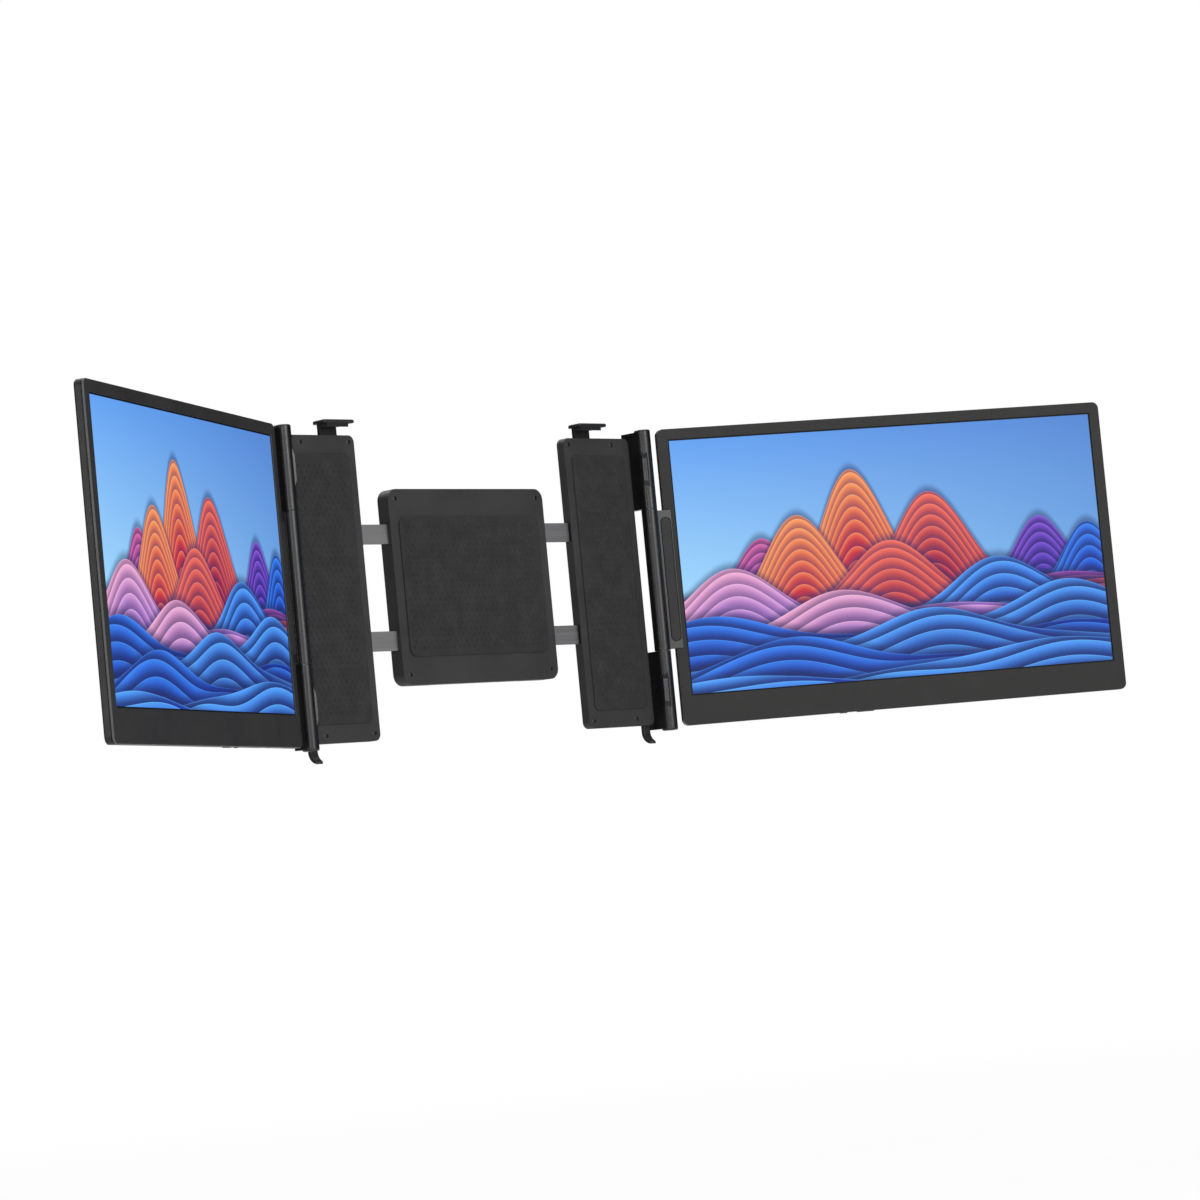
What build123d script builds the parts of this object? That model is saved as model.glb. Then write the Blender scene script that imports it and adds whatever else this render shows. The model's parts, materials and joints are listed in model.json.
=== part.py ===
from build123d import *
import os
from math import cos, radians, sin

# Screen extender that clamps on a laptop's lid: two hinged displays on a sliding bracket.
# The origin is the centre of the pad that the lid's back rests on, halfway up the hinge barrels.
# +X is to the user's right, +Y is away from the user, +Z runs up the hinge axes. Millimetres.
# Right-hand pieces are modelled, and the left-hand ones are their mirror images about X = 0.

# The laptop lid that the bracket is set to at rest
lid_width = 349.6
lid_thickness = 7.0
lid_top = 113.8
lid_side_gap = 0.8

# Clearances
seat_gap = 0.1
running_gap = 0.05
slide_gap = 0.15
travel_gap = 0.3

# Screws
screw_radius = 0.95
screw_head_radius = 1.9
screw_head_taper = 45
boss_radius = 1.6

# Displays and their cases
display_width = 344.2
display_height = 193.6
side_bezel = 8.1
chin_height = 22.2
case_thickness = 7.0
case_corner = 5.0
case_wall = 1.4
bezel_depth = 2.0
glass_recess = 0.8
panel_border = 2.6
panel_thickness = 1.2
tray_edge_gap = 0.4
boss_inset = 3.7
front_round = 0.6
back_round = 1.2

# Hinges
rest_angle = 29.5
barrel_radius = 6.0
barrel_forward = 1.6
sleeve_length = 106.4
knuckle_length = 59.6
knuckle_gap = 0.4
cap_thickness = 1.6
cap_round = 1.2
shaft_radius = 2.5
shaft_length = 86.0
bush_radius = 4.0
bush_length = 30.0
shaft_end_gap = 2.0
hinge_reach = 12.1
face_depth = 1.6
flange_reach = 17.2
flange_trim = 1.0
flange_neck = ((4.0, 1.6), (2.0, 5.4))
flange_root = 8.5
pad_length = 94.0
pad_width = 8.2
pad_thickness = 1.2
pad_groove = 0.35
pad_edge = 0.7
leaf_length = 100.0
leaf_reach = 45.0
leaf_thickness = 1.3
leaf_corner = 6.0
leaf_screw_height = 36.0
flange_thread = 2.0
flange_screw_inset = 2.6
lug_height = 83.0
lug_base = (30.0, 5.2)
lug_tip = (17.0, 3.4)
lug_rise = 1.1
lug_root = 1.0
lug_angle = 47.0

# Boards, sockets and buttons in the chin
board_width = 168.0
board_height = 13.0
board_thickness = 1.0
board_back_gap = 1.3
board_edge_gap = 3.8
board_corner = 1.0
chip_size = (18.0, 7.0)
chip_height = 0.9
chip_inset = 9.1
socket_offset = 0.55
usb_size = (8.94, 3.2)
usb_length = 7.4
usb_opening = (8.34, 2.56)
usb_tongue = (6.7, 0.7)
usb_places = (38.0, 54.0)
hdmi_size = (11.6, 3.2)
hdmi_length = 7.6
hdmi_opening = (10.5, 2.45)
hdmi_tongue = (8.0, 0.8)
hdmi_place = 74.0
socket_wall_depth = 5.6
power_place = 128.0
power_size = (6.0, 2.2)
rocker_place = 146.0
rocker_size = (14.0, 2.2)
button_rise = 0.5
button_travel = 0.4
button_gap = 0.5
button_flange = 0.8
button_stem = 2.0
rocker_pin_radius = 0.7
rocker_gap = 0.3
vent_count = 12
vent_size = (9.0, 1.3)
vent_pitch = 12.0
vent_height = -70.0

# Arm behind each side of the lid
arm_width = 69.5
arm_travel = 25.0
arm_half_height = 108.0
arm_front = 1.0
arm_thickness = 8.0
arm_wall = 1.5
arm_corner = 5.0
arm_round = 1.2
arm_boss_inset = 5.0
arm_outer_boss_inset = 18.5
arm_boss_radius = 2.4
web_width = 7.4
web_round = 2.0
tongue_centre = 79.0
tongue_height = 36.0
tongue_thickness = 3.5
tongue_reach = 20.5
tongue_screw_inset = 13.5
tongue_screw_spread = 12.0
thread_depth = 1.2
arm_pad_size = (56.0, 190.0)
arm_pad_corner = 4.0

# Bars that join the arms to the centre housing
bar_height = 38.0
bar_size = 14.0
bar_thickness = 2.5
bar_overlap = 28.0
bar_screw_insets = (8.0, 22.0)
bar_corner = 1.5
bar_end_gap = 3.0
guide_length = 18.0
guide_size = 20.0
guide_inset = 2.0

# Sliding clip over the lid's top edge
clip_inset = 47.3
clip_plate_width = 29.6
clip_plate_thickness = 2.4
clip_front_corner = 2.0
clip_back_corner = 6.0
clip_back_round = 1.2
clip_overhang = 3.0
clip_nose_face = 1.0
clip_nose_slope = 1.5
clip_pad_width = 20.0
clip_pad_thickness = 1.6
clip_lip_drop = 1.0
clip_lip_thickness = 0.8
clip_stem_width = 16.0
clip_stem_thickness = 2.6
clip_stem_bottom = 60.0
channel_bottom = 52.0
channel_rib = 1.6

# Hook under the lid's bottom edge
hook_inset = 7.0
hook_width = 7.0
hook_strap = 3.0
hook_bend_top = -113.0
hook_tip = (-3.5, -122.0)
hook_tip_thickness = 1.4
hook_tip_round = 3.5
hook_round = 0.5
hook_foot_width = 11.8
hook_foot_height = 8.0
hook_screw_spread = 5.5

# Centre housing and kickstand
centre_gap = 3.0
centre_half_height = 70.0
centre_thickness = 12.0
centre_front_thickness = 3.0
centre_wall = 1.6
centre_corner = 8.0
centre_round = 1.5
centre_boss_radius = 3.2
centre_boss_inset = 7.0
lid_pad_height = 100.0
lid_pad_inset = 8.0
lid_pad_corner = 6.0
stand_inset = 14.0
stand_top = 58.0
stand_pivot = -62.0
stand_thickness = 2.7
stand_recess = 3.2
stand_pocket_margin = 8.0
stand_pocket_depth = 0.8
stand_corner = 4.0
stand_pin_radius = 0.8
stand_pin_length = 8.0
stand_foot_height = 5.0
finger_notch_radius = 8.0
finger_notch_depth = 2.2

# Places that follow from the sizes above
barrel_half = sleeve_length / 2 + knuckle_gap + knuckle_length
axis_x = lid_width / 2 + lid_side_gap + barrel_radius
axis_y = -lid_thickness - barrel_forward
outward = Vector(cos(radians(rest_angle)), -sin(radians(rest_angle)), 0)
facing = Vector(-sin(radians(rest_angle)), -cos(radians(rest_angle)), 0)
up = Vector(0, 0, 1)
hinge_point = Vector(axis_x, axis_y, 0)

case_width = display_width + 2 * side_bezel
case_height = display_height + side_bezel + chin_height
case_top = barrel_half
case_bottom = case_top - case_height
case_u = hinge_reach + case_width / 2
case_z = case_top - case_height / 2
case_outer = hinge_reach + case_width
display_z = case_top - side_bezel - display_height / 2
panel_width = display_width + 2 * panel_border
panel_height = display_height + 2 * panel_border
glass_depth = face_depth + glass_recess
split_depth = face_depth + bezel_depth
tray_front = glass_depth + panel_thickness
back_depth = face_depth + case_thickness
floor_depth = back_depth - case_wall
leaf_depth = floor_depth - leaf_thickness
tray_thickness = leaf_depth - tray_front - seat_gap
board_depth = floor_depth - board_back_gap - board_thickness
socket_depth = board_depth + socket_offset
screw_head_depth = screw_head_radius - screw_radius

arm_outer = axis_x - barrel_radius - seat_gap
arm_inner = arm_outer - arm_width
arm_back = arm_front + arm_thickness
arm_split = arm_front + arm_wall
arm_floor = arm_back - arm_wall
arm_x = arm_outer - arm_width / 2
tongue_inner = arm_outer - tongue_reach
tongue_screw = arm_outer - tongue_screw_inset
clip_place = arm_outer - clip_inset
hook_place = arm_outer - hook_inset
hook_foot_x = hook_place + (hook_width - hook_foot_width) / 2
bar_outer = arm_inner + bar_overlap
bar_screws = [arm_inner + inset for inset in bar_screw_insets]
web_inner = axis_x - barrel_radius
tongue_front = arm_floor - tongue_thickness
stem_front = arm_split + seat_gap
stem_back = stem_front + clip_stem_thickness
hook_back = stem_front + hook_strap
centre_half_width = arm_inner - arm_travel - centre_gap
guide_outer = centre_half_width - guide_inset
guide_inner = guide_outer - guide_length
bar_inner = guide_inner - arm_travel - bar_end_gap
stand_width = 2 * (guide_inner - stand_inset)
centre_back = arm_front + centre_thickness
centre_split = arm_front + centre_front_thickness
centre_floor = centre_back - centre_wall
bar_front = centre_split + slide_gap
bar_back = bar_front + bar_thickness
recess_floor = centre_back - stand_recess
stand_front = centre_back - stand_thickness - travel_gap
stand_axis_y = stand_front + stand_thickness / 2


os.makedirs("parts", exist_ok=True)


def display_plane(depth):
    """Plane of the right display, this far behind the hinge axis: x outward, y up, normal to the user."""
    return Plane(origin=hinge_point - facing * depth, x_dir=outward, z_dir=facing)


def level_plane(height):
    """Level plane through the right hinge axis: x outward along the display, y towards its back."""
    return Plane(origin=hinge_point + up * height, x_dir=outward, z_dir=up)


def lid_plane(depth):
    """Plane of the lid, this far behind the lid's back face, with its normal to the user."""
    return Plane.XZ.offset(-depth)


def screws(seat, points, length, gap=0.0):
    """Countersunk screws with their heads level with a plane, or their holes when given a gap."""
    with BuildPart() as group:
        with BuildSketch(seat):
            with Locations(*points):
                Circle(screw_head_radius + gap)
        extrude(amount=screw_head_depth, taper=screw_head_taper)
        with BuildSketch(seat):
            with Locations(*points):
                Circle(screw_radius + gap)
        extrude(amount=length)
    return group.part


def screws_from_front(depth, points, length, gap=0.0):
    """The same screws, driven away from the user into the bracket."""
    seat = Plane(origin=(0, depth, 0), x_dir=(-1, 0, 0), z_dir=(0, 1, 0))
    return screws(seat, [(-x, z) for x, z in points], length, gap)


def export(piece, name):
    piece.label = name
    export_step(piece, f"parts/{name}.step")


def export_pair(piece, name):
    """Writes a right-hand piece and its left-hand mirror image."""
    export(piece, f"right_{name}")
    export(mirror(piece, about=Plane.YZ), f"left_{name}")


# ---------------------------------------------------------------- display cases
boss_points = [
    (u, z)
    for u in (hinge_reach + boss_inset, case_u, case_outer - boss_inset)
    for z in (case_bottom + boss_inset, case_top - boss_inset)
]
flange_screw_u = flange_reach - flange_screw_inset
leaf_flange_points = [(flange_screw_u, z) for z in (-leaf_screw_height, leaf_screw_height)]
leaf_cover_points = [(leaf_reach - leaf_corner, z) for z in (-leaf_screw_height, leaf_screw_height)]
notch_u = (hinge_reach + flange_reach + seat_gap) / 2
notch_size = (flange_reach + seat_gap - hinge_reach, sleeve_length - 2 * flange_trim + 2 * travel_gap)
vent_points = [(case_u + (i - (vent_count - 1) / 2) * vent_pitch, vent_height) for i in range(vent_count)]


def chin_shape(place, size, gap=0.0):
    """Pill of a button, seen from below, at a place along the chin's bottom edge."""
    with BuildSketch(level_plane(case_bottom)) as pill:
        with Locations((hinge_reach + place, socket_depth)):
            SlotOverall(size[0] + 2 * gap, size[1] + 2 * gap)
    return pill.sketch


def socket(place, size, opening, tongue, length):
    """Metal socket shell with its mouth level with the chin's bottom edge."""
    u = hinge_reach + place
    with BuildPart() as shell:
        with BuildSketch(level_plane(case_bottom)):
            with Locations((u, socket_depth)):
                SlotOverall(*size)
        extrude(amount=length)
        with BuildSketch(level_plane(case_bottom)):
            with Locations((u, socket_depth)):
                SlotOverall(*opening)
                Rectangle(*tongue, mode=Mode.SUBTRACT)
        extrude(amount=socket_wall_depth, mode=Mode.SUBTRACT)
    return shell.part


with BuildPart() as front_bezel:
    with BuildSketch(display_plane(face_depth)):
        with Locations((case_u, case_z)):
            RectangleRounded(case_width, case_height, case_corner)
        with Locations((case_u, display_z)):
            Rectangle(display_width, display_height, mode=Mode.SUBTRACT)
        with Locations((notch_u, 0)):
            Rectangle(*notch_size, mode=Mode.SUBTRACT)
    extrude(amount=-bezel_depth)
    front_face = front_bezel.faces().sort_by(Axis(hinge_point, facing))[-1]
    fillet(front_face.outer_wire().edges(), front_round)
    with BuildSketch(display_plane(glass_depth)):
        with Locations((case_u, display_z)):
            Rectangle(panel_width + 2 * seat_gap, panel_height + 2 * seat_gap)
    extrude(amount=-bezel_depth, mode=Mode.SUBTRACT)
    with BuildSketch(display_plane(split_depth)):
        with Locations(*boss_points):
            Circle(boss_radius)
    extrude(amount=split_depth - floor_depth)
    with BuildSketch(display_plane(floor_depth)):
        with Locations(*boss_points):
            Circle(screw_radius + running_gap)
    extrude(amount=floor_depth - split_depth, mode=Mode.SUBTRACT)
export_pair(front_bezel.part, "front_bezel")

with BuildPart() as back_cover:
    with BuildSketch(display_plane(split_depth)):
        with Locations((case_u, case_z)):
            RectangleRounded(case_width, case_height, case_corner)
    extrude(amount=split_depth - back_depth)
    back_face = back_cover.faces().sort_by(Axis(hinge_point, facing))[0]
    fillet(back_face.edges(), back_round)
    with BuildSketch(display_plane(split_depth)):
        with Locations((case_u, case_z)):
            RectangleRounded(case_width - 2 * case_wall, case_height - 2 * case_wall, case_corner - case_wall)
    extrude(amount=split_depth - floor_depth, mode=Mode.SUBTRACT)
    with BuildSketch(display_plane(split_depth)):
        with Locations((notch_u, 0)):
            Rectangle(*notch_size)
    extrude(amount=split_depth - floor_depth, mode=Mode.SUBTRACT)
    with BuildSketch(display_plane(back_depth)):
        with Locations(*vent_points):
            SlotOverall(*vent_size)
    extrude(amount=case_wall, mode=Mode.SUBTRACT)
    add(
        screws(display_plane(back_depth), boss_points + leaf_cover_points, case_wall, seat_gap),
        mode=Mode.SUBTRACT,
    )
    extrude(chin_shape(power_place, power_size, slide_gap), amount=case_wall, mode=Mode.SUBTRACT)
    extrude(chin_shape(rocker_place, rocker_size, rocker_gap), amount=case_wall, mode=Mode.SUBTRACT)
    for place in usb_places:
        extrude(chin_shape(place, usb_size, seat_gap), amount=case_wall, mode=Mode.SUBTRACT)
    extrude(chin_shape(hdmi_place, hdmi_size, seat_gap), amount=case_wall, mode=Mode.SUBTRACT)
export_pair(back_cover.part, "back_cover")

with BuildPart() as lcd_panel:
    with BuildSketch(display_plane(glass_depth)):
        with Locations((case_u, display_z)):
            Rectangle(panel_width, panel_height)
    extrude(amount=-panel_thickness)
export_pair(lcd_panel.part, "lcd_panel")

with BuildPart() as backlight_tray:
    with BuildSketch(display_plane(tray_front)):
        with Locations((case_u, display_z)):
            Rectangle(panel_width - 2 * tray_edge_gap, panel_height - 2 * tray_edge_gap)
    extrude(amount=-tray_thickness)
    tray_back = backlight_tray.faces().sort_by(Axis(hinge_point, facing))[0]
    chamfer(tray_back.edges(), tray_edge_gap)
export_pair(backlight_tray.part, "backlight_tray")

# Board, with its chips
board_bottom = case_bottom + board_edge_gap
board_u = hinge_reach + (usb_places[0] + rocker_place) / 2
with BuildPart() as driver_board:
    with BuildSketch(display_plane(board_depth)):
        with Locations((board_u, board_bottom + board_height / 2)):
            RectangleRounded(board_width, board_height, board_corner)
        for place, size, length in (
            (usb_places[0], usb_size, usb_length),
            (usb_places[1], usb_size, usb_length),
            (hdmi_place, hdmi_size, hdmi_length),
        ):
            with Locations((hinge_reach + place, case_bottom + length / 2)):
                Rectangle(size[0] + 2 * seat_gap, length + 2 * seat_gap, mode=Mode.SUBTRACT)
        with Locations((case_u, case_bottom + boss_inset)):
            Circle(boss_radius + travel_gap, mode=Mode.SUBTRACT)
    extrude(amount=-board_thickness)
    with BuildSketch(display_plane(board_depth + board_thickness)):
        for place in (usb_places[0], hdmi_place, power_place):
            with Locations((hinge_reach + place, board_bottom + chip_inset)):
                Rectangle(*chip_size)
    extrude(amount=-chip_height)
export_pair(driver_board.part, "driver_board")

with BuildPart() as usb_c_sockets:
    for place in usb_places:
        add(socket(place, usb_size, usb_opening, usb_tongue, usb_length))
export_pair(usb_c_sockets.part, "usb_c_sockets")

with BuildPart() as hdmi_socket:
    add(socket(hdmi_place, hdmi_size, hdmi_opening, hdmi_tongue, hdmi_length))
export_pair(hdmi_socket.part, "hdmi_socket")


def button(place, size, has_stem):
    """Button whose pill goes through the chin, with a flange behind the wall and a stem or a pivot pin."""
    flange_start = case_wall + button_gap
    stem_length = board_edge_gap - flange_start - button_flange - button_travel - seat_gap
    with BuildPart() as key:
        extrude(chin_shape(place, size), amount=flange_start)
        extrude(chin_shape(place, size), amount=-button_rise)
        tip = key.faces().sort_by(Axis.Z)[0]
        chamfer(tip.edges(), button_rise / 2)
        with BuildSketch(level_plane(case_bottom + flange_start)):
            with Locations((hinge_reach + place, socket_depth)):
                Rectangle(size[0] + 2 * button_flange, size[1])
        extrude(amount=button_flange)
        if has_stem:
            with BuildSketch(level_plane(case_bottom + flange_start + button_flange)):
                with Locations((hinge_reach + place, socket_depth)):
                    Rectangle(button_stem, size[1])
            extrude(amount=stem_length)
        else:
            with BuildSketch(display_plane(socket_depth - size[1] / 2)):
                with Locations((hinge_reach + place, case_bottom + flange_start + button_flange / 2)):
                    Circle(rocker_pin_radius)
            extrude(amount=-size[1])
    return key.part


export_pair(button(power_place, power_size, True), "power_button")
export_pair(button(rocker_place, rocker_size, False), "menu_rocker")

with BuildPart() as case_screws:
    add(screws(display_plane(back_depth), boss_points, back_depth - split_depth - seat_gap))
    add(screws(display_plane(back_depth), leaf_cover_points, case_wall + leaf_thickness - seat_gap))
    add(screws(display_plane(floor_depth), leaf_flange_points, leaf_thickness + flange_thread - seat_gap))
export_pair(case_screws.part, "case_screws")

# ---------------------------------------------------------------- hinges
flange_half = sleeve_length / 2 - flange_trim
pad_u = flange_reach - pad_edge - pad_width / 2
bush_bottom = sleeve_length / 2 - bush_length
with BuildPart() as hinge_sleeve:
    with BuildSketch(level_plane(-sleeve_length / 2)):
        Circle(barrel_radius)
    extrude(amount=sleeve_length)
    with BuildSketch(level_plane(-flange_half)):
        with BuildLine():
            Polyline(
                flange_neck[0],
                (flange_reach, face_depth),
                (flange_reach, leaf_depth),
                (hinge_reach - seat_gap, leaf_depth),
                (hinge_reach - seat_gap, back_depth),
                (flange_root, back_depth),
                flange_neck[1],
                close=True,
            )
        make_face()
    extrude(amount=2 * flange_half)
    with BuildSketch(display_plane(face_depth)):
        with Locations((pad_u, 0)):
            SlotOverall(pad_length, pad_width, rotation=90)
    extrude(amount=-pad_thickness, mode=Mode.SUBTRACT)
    for start, direction in ((sleeve_length / 2, -1), (-sleeve_length / 2, 1)):
        with BuildSketch(level_plane(start)):
            Circle(bush_radius + running_gap)
        extrude(amount=direction * bush_length, mode=Mode.SUBTRACT)
        with BuildSketch(level_plane(start)):
            Circle(shaft_radius + travel_gap)
        extrude(amount=direction * (bush_length + shaft_end_gap), mode=Mode.SUBTRACT)
    add(
        screws(display_plane(floor_depth), leaf_flange_points, leaf_thickness + flange_thread, running_gap),
        mode=Mode.SUBTRACT,
    )
export_pair(hinge_sleeve.part, "hinge_sleeve")

with BuildPart() as hinge_cover_pad:
    with BuildSketch(display_plane(face_depth)):
        with Locations((pad_u, 0)):
            SlotOverall(pad_length - 2 * pad_groove, pad_width - 2 * pad_groove, rotation=90)
    extrude(amount=-pad_thickness)
    pad_face = hinge_cover_pad.faces().sort_by(Axis(hinge_point, facing))[-1]
    fillet(pad_face.edges(), pad_groove)
export_pair(hinge_cover_pad.part, "hinge_cover_pad")

leaf_inner = hinge_reach + seat_gap
with BuildPart() as hinge_leaf:
    with BuildSketch(display_plane(leaf_depth)):
        with Locations(((leaf_inner + leaf_reach) / 2, 0)):
            RectangleRounded(leaf_reach - leaf_inner, leaf_length, leaf_corner)
    extrude(amount=-leaf_thickness)
    add(
        screws(display_plane(floor_depth), leaf_flange_points, leaf_thickness, running_gap)
        + screws(display_plane(back_depth), leaf_cover_points, case_wall + leaf_thickness, running_gap),
        mode=Mode.SUBTRACT,
    )
export_pair(hinge_leaf.part, "hinge_leaf")

with BuildPart() as friction_bushes:
    for bottom in (bush_bottom, -sleeve_length / 2):
        with BuildSketch(level_plane(bottom)):
            Circle(bush_radius)
            Circle(shaft_radius + running_gap, mode=Mode.SUBTRACT)
        extrude(amount=bush_length)
export_pair(friction_bushes.part, "friction_bushes")

shaft_top = barrel_half - cap_thickness
with BuildPart() as hinge_shafts:
    for bottom in (shaft_top - shaft_length, -shaft_top):
        with BuildSketch(level_plane(bottom)):
            Circle(shaft_radius)
        extrude(amount=shaft_length)
export_pair(hinge_shafts.part, "hinge_shafts")

lug_way = Vector(-sin(radians(lug_angle)), -cos(radians(lug_angle)), 0)


def tongue_points(side):
    """Screw places on the tongue of the upper knuckle, side 1, or the lower one, side -1."""
    return [(tongue_screw, side * tongue_centre + step) for step in (-tongue_screw_spread, tongue_screw_spread)]


def knuckle(side):
    """Fixed barrel end on its web and tongue; side is 1 for the upper knuckle and -1 for the lower."""
    start = side * (sleeve_length / 2 + knuckle_gap)
    axis_plane = Plane(origin=hinge_point + up * start, x_dir=(1, 0, 0), z_dir=up)
    length = side * (knuckle_length - cap_thickness)
    lug_point = hinge_point + up * side * lug_height
    tongue_end = web_inner + web_width / 2
    with BuildPart() as body:
        with BuildSketch(axis_plane):
            with Locations((web_width / 2 - barrel_radius, (arm_floor - axis_y) / 2)):
                Rectangle(web_width, arm_floor - axis_y)
        extrude(amount=length)
        back_corner = body.edges().filter_by(Axis.Z).group_by(Axis.Y)[-1].sort_by(Axis.X)[-1]
        fillet(back_corner, web_round)
        with BuildSketch(axis_plane):
            Circle(barrel_radius)
        extrude(amount=length)
        with BuildSketch(lid_plane(tongue_front)):
            with Locations(((tongue_inner + tongue_end) / 2, side * tongue_centre)):
                Rectangle(tongue_end - tongue_inner, tongue_height)
        extrude(amount=-tongue_thickness)
        for reach, size in ((barrel_radius - lug_root, lug_base), (barrel_radius + lug_rise, lug_tip)):
            with BuildSketch(Plane(origin=lug_point + lug_way * reach, x_dir=up, z_dir=lug_way)):
                Rectangle(*size)
        loft()
        with BuildSketch(axis_plane):
            Circle(shaft_radius + running_gap)
        extrude(amount=length, mode=Mode.SUBTRACT)
        add(
            screws_from_front(tongue_front, tongue_points(side), tongue_thickness, running_gap),
            mode=Mode.SUBTRACT,
        )
    return body.part


export_pair(knuckle(1), "upper_knuckle")
export_pair(knuckle(-1), "lower_knuckle")

with BuildPart() as knuckle_caps:
    for side in (1, -1):
        with BuildSketch(level_plane(side * (barrel_half - cap_thickness))):
            Circle(barrel_radius)
        extrude(amount=side * cap_thickness)
    end_faces = knuckle_caps.faces().sort_by(Axis.Z)
    fillet(end_faces[0].edges() + end_faces[-1].edges(), cap_round)
export_pair(knuckle_caps.part, "knuckle_caps")

# ---------------------------------------------------------------- arms
arm_boss_points = [
    (x, z)
    for x in (arm_inner + arm_boss_inset, arm_outer - arm_outer_boss_inset)
    for z in (arm_boss_inset - arm_half_height, arm_half_height - arm_boss_inset)
]
bar_points = [(x, z) for x in bar_screws for z in (-bar_height, bar_height)]
hook_foot_z = arm_wall - arm_half_height + seat_gap + hook_foot_height / 2
hook_points = [(x, hook_foot_z) for x in (hook_place - hook_screw_spread, hook_place)]
channel_top = arm_half_height - arm_wall
channel_z = (channel_bottom + channel_top) / 2
channel_height = channel_top - channel_bottom
channel_width = clip_stem_width + 2 * slide_gap
stem_seat = stem_back + slide_gap

with BuildPart() as arm_front_plate:
    with BuildSketch(lid_plane(arm_front)):
        with Locations((arm_x, 0)):
            RectangleRounded(arm_width, 2 * arm_half_height, arm_corner)
    extrude(amount=-arm_wall)
    add(screws_from_front(arm_front, arm_boss_points, arm_wall, running_gap), mode=Mode.SUBTRACT)
export_pair(arm_front_plate.part, "arm_front_plate")

with BuildPart() as arm_housing:
    with BuildSketch(lid_plane(arm_split)):
        with Locations((arm_x, 0)):
            RectangleRounded(arm_width, 2 * arm_half_height, arm_corner)
    extrude(amount=arm_split - arm_back)
    fillet(arm_housing.faces().sort_by(Axis.Y)[-1].edges(), arm_round)
    with BuildSketch(lid_plane(arm_split)):
        with Locations((arm_x, 0)):
            RectangleRounded(arm_width - 2 * arm_wall, 2 * channel_top, arm_corner - arm_wall)
    extrude(amount=arm_split - arm_floor, mode=Mode.SUBTRACT)
    # Bosses, the clip's channel, and the seats of the bars and the hook
    with BuildSketch(lid_plane(arm_split)):
        with Locations(*arm_boss_points):
            Circle(arm_boss_radius)
        for side in (-1, 1):
            with Locations((clip_place + side * (channel_width + channel_rib) / 2, channel_z)):
                Rectangle(channel_rib, channel_height)
    extrude(amount=arm_split - arm_floor)
    with BuildSketch(lid_plane(stem_seat)):
        with Locations((clip_place, channel_z)):
            Rectangle(channel_width, channel_height)
    extrude(amount=stem_seat - arm_floor)
    with BuildSketch(lid_plane(bar_back)):
        for height in (-bar_height, bar_height):
            with Locations(((arm_inner + bar_outer) / 2, height)):
                Rectangle(bar_outer - arm_inner, bar_size)
    extrude(amount=bar_back - arm_floor)
    with BuildSketch(lid_plane(hook_back)):
        with Locations((hook_foot_x, hook_foot_z)):
            Rectangle(hook_foot_width, hook_foot_height)
    extrude(amount=hook_back - arm_floor)
    # Slots in the walls for the bars, the tongues, the clip's stem and the hook
    with BuildSketch(lid_plane(arm_split)):
        for height in (-bar_height, bar_height):
            with Locations((arm_inner + arm_wall / 2, height)):
                Rectangle(arm_wall, bar_size + 2 * seat_gap)
    extrude(amount=arm_split - bar_back, mode=Mode.SUBTRACT)
    with BuildSketch(lid_plane(arm_split)):
        for side in (-1, 1):
            with Locations((arm_outer - arm_wall / 2, side * tongue_centre)):
                Rectangle(arm_wall, tongue_height + 2 * seat_gap)
    extrude(amount=arm_split - arm_floor, mode=Mode.SUBTRACT)
    with BuildSketch(lid_plane(arm_split)):
        with Locations((clip_place, arm_half_height - arm_wall / 2)):
            Rectangle(channel_width, arm_wall)
    extrude(amount=arm_split - stem_seat, mode=Mode.SUBTRACT)
    with BuildSketch(lid_plane(arm_split)):
        with Locations((hook_place, arm_corner / 2 - arm_half_height)):
            Rectangle(hook_width + 2 * seat_gap, arm_corner)
    extrude(amount=arm_split - hook_back - seat_gap, mode=Mode.SUBTRACT)
    # Screw holes
    add(screws_from_front(arm_front, arm_boss_points, arm_floor - arm_front, running_gap), mode=Mode.SUBTRACT)
    with BuildSketch(lid_plane(arm_floor + thread_depth)):
        with Locations(*tongue_points(1), *tongue_points(-1), *bar_points, *hook_points):
            Circle(screw_radius + running_gap)
    extrude(amount=arm_floor + thread_depth - stem_front, mode=Mode.SUBTRACT)
export_pair(arm_housing.part, "arm_housing")

with BuildPart() as arm_pad:
    with BuildSketch(lid_plane(0)):
        with Locations((arm_x, 0)):
            RectangleRounded(*arm_pad_size, arm_pad_corner)
    extrude(amount=-arm_front)
export_pair(arm_pad.part, "arm_pad")

with BuildPart() as slide_bars:
    with BuildSketch(lid_plane(bar_front)):
        for height in (-bar_height, bar_height):
            with Locations(((bar_inner + bar_outer) / 2, height)):
                RectangleRounded(bar_outer - bar_inner, bar_size, bar_corner)
    extrude(amount=-bar_thickness)
    add(screws_from_front(bar_front, bar_points, bar_thickness, running_gap), mode=Mode.SUBTRACT)
export_pair(slide_bars.part, "slide_bars")

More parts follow.
